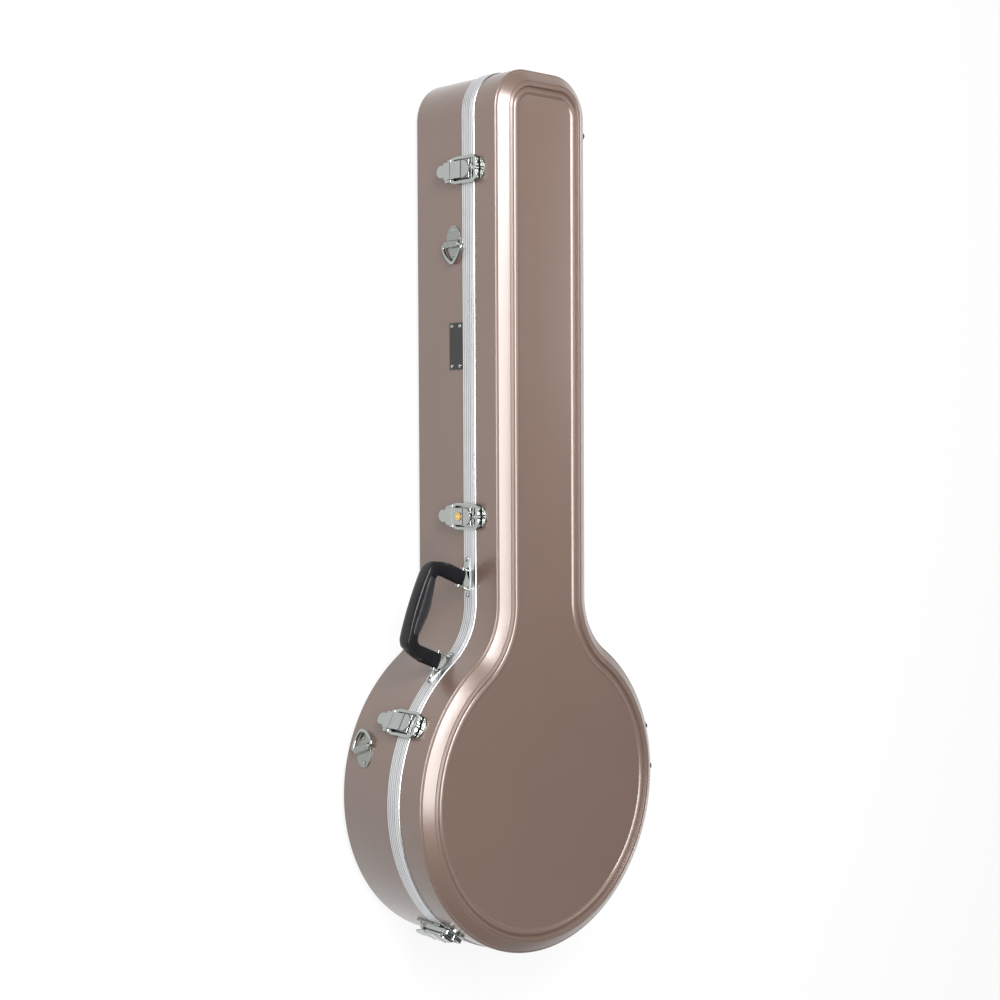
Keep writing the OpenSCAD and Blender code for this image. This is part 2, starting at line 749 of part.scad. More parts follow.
module lever_right() { on_seat(seat_right) lever(false); }
module bail_end() { on_seat(seat_end) bail(); }
module bail_lock() { on_seat(seat_lock) bail(); }
module bail_side() { on_seat(seat_side) bail(); }
module bail_left() { on_seat(seat_left) bail(); }
module bail_right() { on_seat(seat_right) bail(); }

// Handle: its pins lie on one line between the two brackets
seat_upper = neck_seat(handle_y);
seat_lower = pot_seat(handle_a);
pin_upper = [-half_w - handle_off, handle_y];
pin_lower = [(pot_r + handle_off) * cos(handle_a), (pot_r + handle_off) * sin(handle_a)];
pin_span = norm(pin_lower - pin_upper);
pin_a = atan2(pin_lower[1] - pin_upper[1], pin_lower[0] - pin_upper[0]);
lug_in = arm_w / 2 + lug_gap;
lug_out = lug_in + lug_t;
lug_r = handle_pin_r + 1.6;

// In the handle's frame X runs from the upper to the lower pin and Y points into the case
module in_handle() {
  translate([pin_upper[0], pin_upper[1], handle_z]) rotate([0, 0, pin_a]) children();
}

module at_pin(s) {
  translate([s, 0, 0]) rotate([0, 90, 0]) children();
}

module handle_lugs(s) {
  in_handle() for (x0 = [s - lug_out, s + lug_in]) {
    translate([x0, 0, -lug_r]) cube([lug_t, handle_off * 2, 2 * lug_r]);
    translate([x0, 0, 0]) rotate([0, 90, 0]) cylinder(r = lug_r, h = lug_t);
  }
}

// A long lens with round ends
module bracket_area() {
  end_y = bracket_l / 2 - bracket_end;
  bow = bracket_w / 2 - bracket_end;
  bow_r = (end_y * end_y + bow * bow) / (2 * bow);
  bow_a = asin(end_y / bow_r);
  side = bracket_w / 2 - bow_r;
  polygon(concat(
    arc_points(end_y, 0, bracket_end, -80, 80, 6), arc_points(0, side, bow_r, 90 - bow_a, 90 + bow_a, 8),
    arc_points(-end_y, 0, bracket_end, 100, 260, 6), arc_points(0, -side, bow_r, 270 - bow_a, 270 + bow_a, 8)
  ));
}

module handle_bracket(seat, s, is_round) {
  color(chrome) difference() {
    union() {
      on_seat(seat) translate([-bracket_t * 2, 0, handle_z])
        rotate([90, 0, 90]) linear_extrude(band_t + 3 * bracket_t) bracket_area();
      handle_lugs(s);
    }
    on_seat(seat) wall_body(is_round);
    in_handle() translate([s - far / 2, 0, 0]) rotate([0, 90, 0]) cylinder(r = handle_pin_r, h = far);
  }
}

module handle_bracket_upper() { handle_bracket(seat_upper, 0, false); }
module handle_bracket_lower() {
  color(chrome) difference() {
    handle_bracket(seat_lower, pin_span, true);
    waist_body();
  }
}

// The solid case beside the waist, where the lower bracket runs past the round end
module waist_body() {
  for (part = [[0, -over, far], [band_t, z_band, z_lid_band - z_band]])
    translate([0, 0, part[1]]) linear_extrude(part[2]) difference() {
      polygon([[-waist_x, waist_y], [0, 0], [0, waist_y]]);
      translate([-waist_x, waist_y]) circle(r = waist_r - part[0], $fn = fine);
    }
}

module handle_pins() {
  color(chrome) for (s = [0, pin_span])
    in_handle() translate([s - lug_out - 0.6, 0, 0])
      rotate([0, 90, 0]) cylinder(r = handle_pin_r, h = 2 * lug_out + 1.2);
}

// The handle is moulded: its plan is cut by its side profile
module handle_plan() {
  half = arm_w / 2;
  inner = handle_reach - grip_d;
  inner_r = grip_corner * 0.36;
  end = handle_reach - grip_bow;
  mid = pin_span / 2;
  long = mid + half - grip_corner;
  short = mid - half - inner_r;
  polygon(concat(
    [[-half, arm_r]],
    arc_points(grip_corner - half, grip_corner - end, grip_corner, 180, 264, 10),
    [for (i = [-6:6]) [mid + long * i / 7, grip_bow * i * i / 49 - handle_reach]],
    arc_points(pin_span + half - grip_corner, grip_corner - end, grip_corner, 276, 360, 10),
    [[pin_span + half, arm_r], [pin_span - half, arm_r]],
    arc_points(pin_span - half - inner_r, inner_r - inner, inner_r, 0, -90, 6),
    [for (i = [6:-1:-6]) [mid + short * i / 7, grip_swell * pow(cos(i * 90 / 7), 2) - inner]],
    arc_points(half + inner_r, inner_r - inner, inner_r, 270, 180, 6),
    [[half, arm_r]]
  ));
}

module handle_profile() {
  inner = handle_reach - grip_d;
  polygon(concat(
    arc_points(0, 0, arm_r, -90, 90, 12),
    [[-0.5 * inner, arm_r + 0.8], [-inner, 0.72 * grip_r]],
    arc_points(grip_r - handle_reach, 0, grip_r, 65, 295, 20),
    [[-inner, -0.72 * grip_r], [-0.5 * inner, -arm_r - 0.8]]
  ));
}

module handle_grip() {
  color(black) in_handle() difference() {
    intersection() {
      translate([0, 0, -far / 2]) linear_extrude(far) handle_plan();
      translate([-far / 2, 0, 0]) rotate([90, 0, 90]) linear_extrude(far) handle_profile();
    }
    for (s = [0, pin_span])
      translate([s - arm_w, 0, 0]) rotate([0, 90, 0]) cylinder(r = handle_pin_r + pin_gap, h = 2 * arm_w);
  }
}

// Strap rings. In the ring's frame X points out of the wall and the ring hangs towards +Y.
bar_off = ring_plate_t + wire_r + 0.4;
clip_r = wire_r + 0.1 + ring_plate_t;
ring_b = (ring_side - ring_bend) * sin(ring_out) - (ring_side - ring_tip) * sin(ring_lean);
clip_w = ring_b - 0.3;

module ring_frame(is_upper) {
  if (is_upper)
    on_seat(neck_seat(ring_y)) translate([0, 0, ring_z]) children();
  else
    on_seat(pot_seat(ring_a)) translate([0, 0, ring_low_z]) rotate([180 + ring_turn, 0, 0]) children();
}

module ring_plate_area() {
  tip = 5.5;
  polygon(concat(
    [for (i = [0:12]) [-6 - (ring_plate_up - 6) * sin(i * 15), ring_plate_w * cos(i * 15)]],
    [[1, 0.6 - ring_plate_w]],
    arc_points(ring_plate_down - tip, 0, tip, -65, 65, 8),
    [[1, ring_plate_w - 0.6]]
  ));
}

// The clip is folded over the bar, with a slope behind it
module clip_area() {
  top = bar_off + clip_r;
  polygon(concat(
    [[0, -clip_back], [ring_plate_t + 0.2, -clip_back], [top - 1.6, 1.6 - clip_back], [top, -2.6]],
    arc_points(bar_off, 0, clip_r, 0, 90, 8), [[0, clip_r]]
  ));
}

module ring_plate(is_upper) {
  color(chrome) difference() {
    union() {
      intersection() {
        ring_frame(is_upper) translate([-4, 0, 0])
          rotate([90, 0, 90]) linear_extrude(4 + ring_plate_t) ring_plate_area();
        if (!is_upper)
          cylinder(r = pot_r + ring_plate_t, h = far, $fn = fine);
      }
      ring_frame(is_upper) translate([0, 0, -clip_w]) linear_extrude(2 * clip_w) clip_area();
    }
    if (is_upper)
      on_seat(neck_seat(ring_y)) wall_body(false);
    else
      on_seat(pot_seat(ring_a)) wall_body(true);
    ring_frame(is_upper) translate([bar_off, 0, -far / 2]) cylinder(r = wire_r + pin_gap, h = far);
    ring_frame(is_upper) for (s = [-1, 1])
      translate([ring_plate_t, -clip_back - over, s > 0 ? clip_w : -far - clip_w])
        cube([far, clip_back + clip_r + 2 * over, far]);
  }
}

// The wire runs from the bar round two tight bends and two long sides to a rounded point
module strap_ring(is_upper) {
  side_z = ring_b - (ring_side - ring_bend) * sin(ring_out);
  side_y = ring_bend + (ring_side - ring_bend) * cos(ring_out);
  tip_y = side_y - (ring_side - ring_tip) * cos(ring_lean);
  bend_r = wire_r + 0.05;
  lap = 0.2;
  turn = 0.3;
  color(chrome) ring_frame(is_upper) translate([bar_off, 0, 0]) {
    translate([0, 0, -ring_b - lap]) cylinder(r = wire_r, h = 2 * (ring_b + lap));
    for (side = [0, 1]) mirror([0, 0, side]) {
      ring_arc(ring_bend, ring_b, ring_bend, 0, ring_out, bend_r);
      ring_arc(side_y, side_z, ring_side, ring_out - turn, ring_lean + turn, wire_r);
    }
    ring_arc(tip_y, 0, ring_tip, ring_lean, 360 - ring_lean, bend_r);
  }
}

// The wire is a little fuller in its tight bends
module ring_arc(y, z, r, from, to, wire) {
  translate([0, y, z]) rotate([0, -90, 0])
    rotate_extrude(angle = to - from, start = from - 90) translate([r, 0]) circle(r = wire);
}

// Hinges lie on one straight line that touches the round end and passes the neck end.
// In the hinge line's frame X points out of the case and Y runs along the line.
line_d = pot_r + band_t + hinge_off;
end_point = [half_w + band_t + hinge_end_off, hinge_end_y];
line_a = atan2(end_point[1], end_point[0]) - acos(line_d / norm(end_point));
hinge_end_s = -sin(line_a) * end_point[0] + cos(line_a) * end_point[1];

module on_line(s) {
  rotate([0, 0, line_a]) translate([line_d, s, 0]) children();
}

module case_body(is_end) {
  if (is_end) {
    translate([half_w - far, hinge_end_y - far / 2, -over]) cube([far, far, far]);
    translate([half_w - far, hinge_end_y - far / 2, z_band]) cube([far + band_t, far, z_lid_band - z_band]);
  } else {
    translate([0, 0, -over]) cylinder(r = pot_r, h = far, $fn = fine);
    translate([0, 0, z_band]) cylinder(r = pot_r + band_t, h = z_lid_band - z_band, $fn = fine);
  }
}

module leaf_skin(is_end) {
  if (is_end)
    translate([half_w - far, hinge_end_y - far / 2, 0]) cube([far + band_t + leaf_t, far, far]);
  else
    cylinder(r = pot_r + band_t + leaf_t, h = far, $fn = fine);
}

// The leaf is drawn flat with Y up the wall, and narrows to a round end
module leaf_area() {
  tip_r = 5;
  polygon(concat(
    [[-hinge_w / 2, part_gap], [hinge_w / 2, part_gap], [hinge_w / 2, 12]],
    arc_points(0, leaf_l - tip_r, tip_r, 10, 170, 8),
    [[-hinge_w / 2, 12]]
  ));
}

module hinge_leaf(s, is_end, up, places) {
  knuckle = hinge_w / 5;
  color(chrome) difference() {
    union() {
      intersection() {
        on_line(s) translate([-30, 0, z_part]) rotate([90, 0, 90]) linear_extrude(40)
          mirror([0, up > 0 ? 0 : 1]) leaf_area();
        leaf_skin(is_end);
      }
      for (i = places) on_line(s) {
        y0 = -hinge_w / 2 + i * knuckle + knuckle_gap / 2;
        y1 = y0 + knuckle - knuckle_gap;
        across(y0, y1) polygon([
          [-12, z_part + up * 2.4], [0, z_part], [knuckle_r * 0.7, z_part + up * knuckle_r * 0.7],
          [0, z_part + up * knuckle_r], [-3, z_part + up * 9], [-12, z_part + up * 11]
        ]);
        translate([0, y0, z_part]) rotate([-90, 0, 0]) cylinder(r = knuckle_r, h = y1 - y0);
      }
    }
    case_body(is_end);
    on_line(s) pin_across(0, z_part, up > 0 ? pin_r + pin_gap : pin_r, hinge_w);
  }
}

base_knuckles = [0, 2, 4];
lid_knuckles = [1, 3];
module hinge_leaf_base_end() { hinge_leaf(hinge_end_s, true, -1, base_knuckles); }
module hinge_leaf_base_upper() { hinge_leaf(hinge_spread, false, -1, base_knuckles); }
module hinge_leaf_base_lower() { hinge_leaf(-hinge_spread, false, -1, base_knuckles); }
module hinge_leaf_lid_end() { hinge_leaf(hinge_end_s, true, 1, lid_knuckles); }
module hinge_leaf_lid_upper() { hinge_leaf(hinge_spread, false, 1, lid_knuckles); }
module hinge_leaf_lid_lower() { hinge_leaf(-hinge_spread, false, 1, lid_knuckles); }
module hinge_pins() {
  color(chrome) for (s = [hinge_end_s, hinge_spread, -hinge_spread])
    on_line(s) pin_across(0, z_part, pin_r, hinge_w / 2 + 0.6);
}

// Small parts
module plain_plate() {
  color(black) on_seat(neck_seat(tag_y)) translate([0, -tag_l / 2, tag_z - tag_w / 2])
    cube([tag_t, tag_l, tag_w]);
}

// A domed rivet head that sits on a face, pointing along X
module rivet_head() {
  dome_r = (rivet_r * rivet_r + rivet_h * rivet_h) / (2 * rivet_h);
  rotate([0, 90, 0]) rotate_extrude($fn = 24) intersection() {
    translate([0, rivet_h - dome_r]) circle(r = dome_r);
    square([rivet_r + over, rivet_h + over]);
  }
}

// The lower ring's plate follows the round wall, so its rivets are set in a little and cut to it
rivet_sink = 0.3;
module ring_rivets(is_upper, sink) {
  for (y = [-1, 1])
    ring_frame(is_upper)
      translate([ring_plate_t - sink, y > 0 ? ring_plate_down - 7.3 : 6 - ring_plate_up, 0]) rivet_head();
}

// Three rivets hold each hinge leaf
module leaf_rivets(up) {
  skin_r = pot_r + band_t + leaf_t;
  for (place = [[0, leaf_l - tip_in], [-leaf_side, leaf_low], [leaf_side, leaf_low]]) {
    translate([half_w + band_t + leaf_t, hinge_end_y + place[0], z_part + up * place[1]]) rivet_head();
    difference() {
      for (s = [-hinge_spread, hinge_spread])
        rotate([0, 0, line_a + asin((s + place[0]) / skin_r)])
          translate([skin_r - 0.1, 0, z_part + up * place[1]]) rivet_head();
      cylinder(r = skin_r, h = far, $fn = fine);
    }
  }
}

module base_rivets() {
  color(chrome) {
    leaf_rivets(-1);
    for (seat = [seat_end, seat_lock, seat_side, seat_left, seat_right])
      on_seat(seat) for (y = [-8, 8])
        translate([plate_x, y, z_part - plate_l + 4.5]) rivet_head();
    for (y = [-1, 1], z = [-1, 1])
      on_seat(neck_seat(tag_y))
        translate([tag_t, y * (tag_l / 2 - 4), tag_z + z * (tag_w / 2 - 4)]) rivet_head();
    on_seat(seat_upper) for (y = [-1, 1])
      translate([band_t + bracket_t, y * (bracket_l / 2 - bracket_end), handle_z]) rivet_head();
    on_seat(seat_lower) for (y = [-1, 1])
      translate([band_t + bracket_t, y * (bracket_l / 2 - bracket_end), handle_z]) rivet_head();
    ring_rivets(true, 0);
    difference() {
      ring_rivets(false, rivet_sink);
      cylinder(r = pot_r + ring_plate_t, h = far, $fn = fine);
    }
  }
}

module lid_rivets() {
  color(chrome) {
    leaf_rivets(1);
    for (seat = [seat_end, seat_lock, seat_side, seat_left, seat_right])
      on_seat(seat) for (y = [-1, 1])
        translate([keeper_t, y * keeper_y / 2, bar_z + bar_w + keeper_rivet]) rivet_head();
  }
}

base_shell();
base_valance_end();
base_valance_sides();
base_valance_waist();
base_valance_round();
base_liner();
neck_cradle();
latch_plate_end();
latch_plate_lock();
latch_plate_side();
latch_plate_left();
latch_plate_right();
latch_pins();
hinge_leaf_base_end();
hinge_leaf_base_upper();
hinge_leaf_base_lower();
hinge_pins();
handle_bracket_upper();
handle_bracket_lower();
handle_pins();
ring_plate(true);  // ring_plate_upper
ring_plate(false);  // ring_plate_lower
plain_plate();
base_rivets();
lid_shell();
lid_valance_end();
lid_valance_sides();
lid_valance_waist();
lid_valance_round();
lid_liner();
keeper_end();
keeper_lock();
keeper_side();
keeper_left();
keeper_right();
hinge_leaf_lid_end();
hinge_leaf_lid_upper();
hinge_leaf_lid_lower();
lid_rivets();
lever_end();
lever_lock();
lever_side_latch();  // lever_side
lever_left();
lever_right();
bail_end();
bail_lock();
bail_side();
bail_left();
bail_right();
lock_cylinder();
handle_grip();
strap_ring(true);  // strap_ring_upper
strap_ring(false);  // strap_ring_lower
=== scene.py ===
import bpy
import bmesh
import json
import math
from mathutils import Matrix, Vector


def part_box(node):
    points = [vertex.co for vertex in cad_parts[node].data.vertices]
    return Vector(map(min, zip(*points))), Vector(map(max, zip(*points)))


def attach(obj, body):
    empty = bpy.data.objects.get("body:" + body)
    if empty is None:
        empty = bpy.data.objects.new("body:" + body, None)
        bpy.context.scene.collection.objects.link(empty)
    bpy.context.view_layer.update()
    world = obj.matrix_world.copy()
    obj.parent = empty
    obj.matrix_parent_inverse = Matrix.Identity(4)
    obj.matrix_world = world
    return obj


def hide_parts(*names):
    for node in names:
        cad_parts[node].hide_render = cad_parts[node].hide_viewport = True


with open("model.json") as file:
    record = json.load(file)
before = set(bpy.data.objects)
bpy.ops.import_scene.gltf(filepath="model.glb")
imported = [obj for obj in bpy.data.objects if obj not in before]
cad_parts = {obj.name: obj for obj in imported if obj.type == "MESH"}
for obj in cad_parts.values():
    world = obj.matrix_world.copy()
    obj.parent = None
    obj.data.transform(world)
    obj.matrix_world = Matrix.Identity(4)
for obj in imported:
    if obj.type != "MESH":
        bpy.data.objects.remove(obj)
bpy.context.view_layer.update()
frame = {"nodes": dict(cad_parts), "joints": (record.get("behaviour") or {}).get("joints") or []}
mm = 0.001
print("case: frame loaded,", len(frame["nodes"]), "nodes")


# camera, lights and floor

studio = {
    "cameraPlace": (-1.4488, 0.4301, 1.6271),
    "cameraForward": (0.6826, -0.0374, -0.7298),
    "cameraUp": (0.0289, 0.9993, -0.0242),
    "lens": 61.74,
    "sensor": 36,
    "clip": (0.05, 40),
    # place, aim, size and power
    "softboxes": {
        "keySoftbox": ((-1.30, 0.47, 2.05), (0.0, 0.43, 0.15), (1.9, 0.8), 57.0),  # lights the sloped edge
        "waistSoftbox": ((-0.90, 1.55, 1.85), (-0.13, 0.22, 0.15), (1.0, 0.9), 54.0),
        "topSoftbox": ((0.95, 0.85, 2.2), (0.0, 0.45, 0.1), (1.0, 1.1), 9.0),  # lies in the panel
        "footSoftbox": ((0.55, -1.30, 1.9), (0.0, -0.1, 0.1), (0.9, 0.9), 3.0),
        "sideSoftbox": ((-2.2, 0.42, 0.42), (0.0, 0.42, 0.12), (1.1, 0.5), 1.5),  # lies in steps and bends
    },
    "skyLow": 0.46,
    "skyHigh": 0.16,
    "skyTurn": (0.04, 0.45),  # height of the view at which the sky is pale, and dark
    "haze": 0.88,  # pale band just above the floor's far edge
    "hazeTurn": (0.03, 0.12),
    "floorHalf": 24.0,
    "floorColour": (0.26, 0.26, 0.26),  # of the light that the floor throws back on the case
    "floorWhite": (0.90, 0.90, 0.90),  # of the floor as the camera sees it
    "floorGlow": 0.86,  # share of plain white in it, the rest keeps the shadow
}


def aimAt(place, target):
    return (Vector(target) - Vector(place)).to_track_quat("-Z", "Y").to_euler()


def addCamera():
    forward = Vector(studio["cameraForward"]).normalized()
    right = forward.cross(Vector(studio["cameraUp"])).normalized()
    up = right.cross(forward)
    camera = bpy.data.objects.new("camera", bpy.data.cameras.new("camera"))
    camera.matrix_world = Matrix((
        (right.x, up.x, -forward.x, studio["cameraPlace"][0]),
        (right.y, up.y, -forward.y, studio["cameraPlace"][1]),
        (right.z, up.z, -forward.z, studio["cameraPlace"][2]),
        (0, 0, 0, 1),
    ))
    camera.data.lens = studio["lens"]
    camera.data.sensor_width = studio["sensor"]
    camera.data.clip_start, camera.data.clip_end = studio["clip"]
    bpy.context.scene.collection.objects.link(camera)
    bpy.context.scene.camera = camera


def addSoftbox(name, place, aim, size, power):
    lamp = bpy.data.lights.new(name, "AREA")
    lamp.shape = "RECTANGLE"
    lamp.size, lamp.size_y = size
    lamp.energy = power
    box = bpy.data.objects.new(name, lamp)
    box.location = place
    box.rotation_euler = aimAt(place, aim)
    box.visible_camera = False
    bpy.context.scene.collection.objects.link(box)


def newMaterial(name):
    material = bpy.data.materials.new(name)
    material.use_nodes = True
    tree = material.node_tree
    tree.nodes.clear()
    tree.nodes.new("ShaderNodeOutputMaterial")
    return material, tree


def addNode(tree, kind, **inputs):
    node = tree.nodes.new("ShaderNode" + kind)
    for key, value in inputs.items():
        node.inputs[key.replace("_", " ")].default_value = value
    return node


def addMath(tree, operation, first, second=None):
    # second is a socket or a plain number
    node = addNode(tree, "Math")
    node.operation = operation
    tree.links.new(first, node.inputs[0])
    if isinstance(second, float):
        node.inputs[1].default_value = second
    elif second is not None:
        tree.links.new(second, node.inputs[1])
    return node.outputs[0]


def addRamp(tree, value, low, high, fromLow=0.3, fromHigh=0.7):
    ramp = addNode(tree, "MapRange")
    ramp.inputs["From Min"].default_value = fromLow
    ramp.inputs["From Max"].default_value = fromHigh
    ramp.inputs["To Min"].default_value = low
    ramp.inputs["To Max"].default_value = high
    tree.links.new(value, ramp.inputs["Value"])
    return ramp.outputs["Result"]


def whiteForCamera(tree):
    # 1 for camera, glossy and transmission rays, so that metal shows the white background too
    path = tree.nodes.new("ShaderNodeLightPath")
    glossy = addMath(tree, "MAXIMUM", path.outputs["Is Camera Ray"], path.outputs["Is Glossy Ray"])
    return addMath(tree, "MAXIMUM", glossy, path.outputs["Is Transmission Ray"])


def addFloor():
    half = studio["floorHalf"]
    mesh = bpy.data.meshes.new("floor")
    corners = [(-half, -half, 0), (half, -half, 0), (half, half, 0), (-half, half, 0)]
    mesh.from_pydata(corners, [], [(0, 1, 2, 3)])
    floor = bpy.data.objects.new("floor", mesh)
    bpy.context.scene.collection.objects.link(floor)
    material, tree = newMaterial("whitePaperSweep")
    paper = addNode(tree, "BsdfDiffuse", Color=(*studio["floorColour"], 1))
    white = addNode(tree, "BsdfDiffuse", Color=(*studio["floorWhite"], 1))
    glow = addNode(tree, "Emission", Color=(1, 1, 1, 1), Strength=1.0)
    seen = addNode(tree, "MixShader")
    seen.inputs[0].default_value = studio["floorGlow"]
    tree.links.new(white.outputs[0], seen.inputs[1])
    tree.links.new(glow.outputs[0], seen.inputs[2])
    mixed = addNode(tree, "MixShader")
    tree.links.new(whiteForCamera(tree), mixed.inputs[0])
    tree.links.new(paper.outputs[0], mixed.inputs[1])
    tree.links.new(seen.outputs[0], mixed.inputs[2])
    tree.links.new(mixed.outputs[0], tree.nodes["Material Output"].inputs["Surface"])
    mesh.materials.append(material)


def setWorld():
    # a plain studio, pale at the horizon and darker overhead
    world = bpy.data.worlds.new("studio")
    bpy.context.scene.world = world
    world.use_nodes = True
    tree = world.node_tree
    tree.nodes.clear()
    out = tree.nodes.new("ShaderNodeOutputWorld")
    coords = tree.nodes.new("ShaderNodeTexCoord")
    axes = tree.nodes.new("ShaderNodeSeparateXYZ")
    tree.links.new(coords.outputs["Generated"], axes.inputs[0])
    room = addNode(tree, "Background", Color=(1, 1, 1, 1))
    level = addRamp(tree, axes.outputs["Z"], studio["skyLow"], studio["skyHigh"], *studio["skyTurn"])
    haze = addRamp(tree, axes.outputs["Z"], studio["haze"], 0.0, *studio["hazeTurn"])
    tree.links.new(addMath(tree, "MAXIMUM", level, haze), room.inputs["Strength"])
    tree.links.new(room.outputs[0], out.inputs["Surface"])


addCamera()
for softbox, settings in studio["softboxes"].items():
    addSoftbox(softbox, *settings)
addFloor()
setWorld()
bpy.context.scene.view_settings.view_transform = "Standard"
print("case: camera, softboxes and floor are set")


# finishes

def objectCoords(tree, scale=(1, 1, 1)):
    coords = tree.nodes.new("ShaderNodeTexCoord")
    mapping = addNode(tree, "Mapping")
    mapping.inputs["Scale"].default_value = scale
    tree.links.new(coords.outputs["Object"], mapping.inputs["Vector"])
    return mapping.outputs["Vector"]


def addNoise(tree, vector, scale, detail=3.0, roughness=0.55):
    noise = addNode(tree, "TexNoise", Scale=scale, Detail=detail, Roughness=roughness)
    tree.links.new(vector, noise.inputs["Vector"])
    return noise.outputs["Fac"]


def mixColours(tree, fac, dark, light):
    mix = tree.nodes.new("ShaderNodeMix")
    mix.data_type = "RGBA"
    mix.inputs["A"].default_value = (*dark, 1)
    mix.inputs["B"].default_value = (*light, 1)
    tree.links.new(fac, mix.inputs["Factor"])
    return mix.outputs["Result"]


def addBump(tree, height, strength, distance, normal=None):
    bump = addNode(tree, "Bump", Strength=strength, Distance=distance)
    tree.links.new(height, bump.inputs["Height"])
    if normal is not None:
        tree.links.new(normal, bump.inputs["Normal"])
    return bump.outputs["Normal"]


def roundedEdges(tree, radius):
    # shades the edges as if they were rounded
    bevel = addNode(tree, "Bevel", Radius=radius)
    bevel.samples = 6
    return bevel.outputs["Normal"]


def addShader(material, **settings):
    # each setting is named after its socket
    tree = material.node_tree
    shader = addNode(tree, "BsdfPrincipled", **settings)
    tree.links.new(shader.outputs[0], tree.nodes["Material Output"].inputs["Surface"])
    return shader


champagne = {
    "dark": (0.140, 0.092, 0.072),
    "light": (0.157, 0.104, 0.083),
    "driftScale": 9,
    "metallic": 0.15,
    "shine": 0.6,  # level of the plain reflection
    "coat": 0.85,
    "coatRoughness": 0.22,
    "roughness": (0.34, 0.42),
    "grainScale": 1100,  # cells of the moulded grain, per metre
    "grainStrength": 0.55,
    "grainDepth": 0.06 * mm,
}


def makeChampagneShell():
    look = champagne
    material, tree = newMaterial("champagneShell")
    point = objectCoords(tree)
    drift = addNoise(tree, point, look["driftScale"], 2)
    grain = addNoise(tree, point, look["grainScale"], 2, 0.6)
    shader = addShader(material, Metallic=look["metallic"], Specular_IOR_Level=look["shine"],
                       Coat_Weight=look["coat"], Coat_Roughness=look["coatRoughness"])
    tree.links.new(mixColours(tree, drift, look["dark"], look["light"]), shader.inputs["Base Color"])
    tree.links.new(addRamp(tree, grain, *look["roughness"]), shader.inputs["Roughness"])
    skin = addBump(tree, grain, look["grainStrength"], look["grainDepth"])
    tree.links.new(skin, shader.inputs["Normal"])
    tree.links.new(skin, shader.inputs["Coat Normal"])
    return material


aluminium = {
    # dark is the colour of the painted shade in the flutes and of the darker brushed lines
    "dark": (0.34, 0.345, 0.355),
    "light": (0.74, 0.745, 0.755),
    "roughness": (0.26, 0.38),
    "flutePitch": 3.3 * mm,
    "fluteWidth": (-0.75, -0.2),  # painted shade: the colour is darker in the flutes, where shade falls
    "lineStretch": (1, 1, 60),  # fine lines that run along the edge
    "lineScale": 40,
    "lineTone": (0.80, 1.0),
    "lineStrength": 0.25,
    "lineDepth": 0.04 * mm,
    "wearScale": 60,
}


def paintedFluteShade(tree):
    # painted shade: 0 in a flute and 1 between flutes, by height on the edge
    coords = tree.nodes.new("ShaderNodeTexCoord")
    axes = tree.nodes.new("ShaderNodeSeparateXYZ")
    tree.links.new(coords.outputs["Object"], axes.inputs[0])
    turn = addMath(tree, "MULTIPLY", axes.outputs["Z"], 2 * math.pi / aluminium["flutePitch"])
    wave = addMath(tree, "SINE", turn)
    return addRamp(tree, wave, 0.0, 1.0, *aluminium["fluteWidth"])


def makeBrushedAluminium():
    look = aluminium
    material, tree = newMaterial("brushedAluminium")
    lines = addNoise(tree, objectCoords(tree, look["lineStretch"]), look["lineScale"], 4, 0.7)
    wear = addNoise(tree, objectCoords(tree), look["wearScale"], 3)
    shader = addShader(material, Metallic=1.0)
    # the brushed lines times the painted shade in the flutes
    bright = addMath(tree, "MULTIPLY", addRamp(tree, lines, *look["lineTone"]), paintedFluteShade(tree))
    tree.links.new(mixColours(tree, bright, look["dark"], look["light"]), shader.inputs["Base Color"])
    tree.links.new(addRamp(tree, wear, *look["roughness"]), shader.inputs["Roughness"])
    tree.links.new(addBump(tree, lines, look["lineStrength"], look["lineDepth"]), shader.inputs["Normal"])
    return material


# colour, roughness and how far the edges look rounded
plating = {
    "bright": ("platedSteel", (0.42, 0.44, 0.425), 0.10, 0.6 * mm),
    "satin": ("satinSteel", (0.31, 0.325, 0.30), 0.26, 0.4 * mm),
    "brass": ("brassLock", (0.74, 0.50, 0.20), 0.20, 0.3 * mm),
    "cloudScale": 140,
    "cloudShade": 0.85,
    "cloudStrength": 0.15,
    "cloudDepth": 0.05 * mm,
    "scuffScale": 900,
    "scuffRange": (0.8, 1.3),  # shares of the roughness
}


def makePlatedSteel(name, colour, roughness, edge):
    look = plating
    material, tree = newMaterial(name)
    point = objectCoords(tree)
    cloud = addNoise(tree, point, look["cloudScale"], 3)
    scuffs = addNoise(tree, point, look["scuffScale"], 2)
    shader = addShader(material, Metallic=1.0)
    darker = tuple(c * look["cloudShade"] for c in colour)
    smooth, rough = (roughness * share for share in look["scuffRange"])
    dents = addBump(tree, cloud, look["cloudStrength"], look["cloudDepth"], roundedEdges(tree, edge))
    tree.links.new(mixColours(tree, cloud, darker, colour), shader.inputs["Base Color"])
    tree.links.new(addRamp(tree, scuffs, smooth, rough), shader.inputs["Roughness"])
    tree.links.new(dents, shader.inputs["Normal"])
    return material


# colour, roughness, shine, grain per metre and its depth
handleFinish = {
    "cap": ("handleCapPlastic", (0.006, 0.006, 0.007), 0.26, 0.35, 900, 0.02 * mm),
    "pad": ("handlePadPlastic", (0.010, 0.010, 0.012), 0.40, 0.45, 520, 0.5 * mm),
    "arm": ("handleArmPlastic", (0.005, 0.005, 0.006), 0.60, 0.12, 1100, 0.4 * mm),
    "cloudScale": 70,
    "cloudShade": 1.6,
    "wearRange": (0.85, 1.15),  # shares of the roughness
    "grainStrength": 0.7,
}


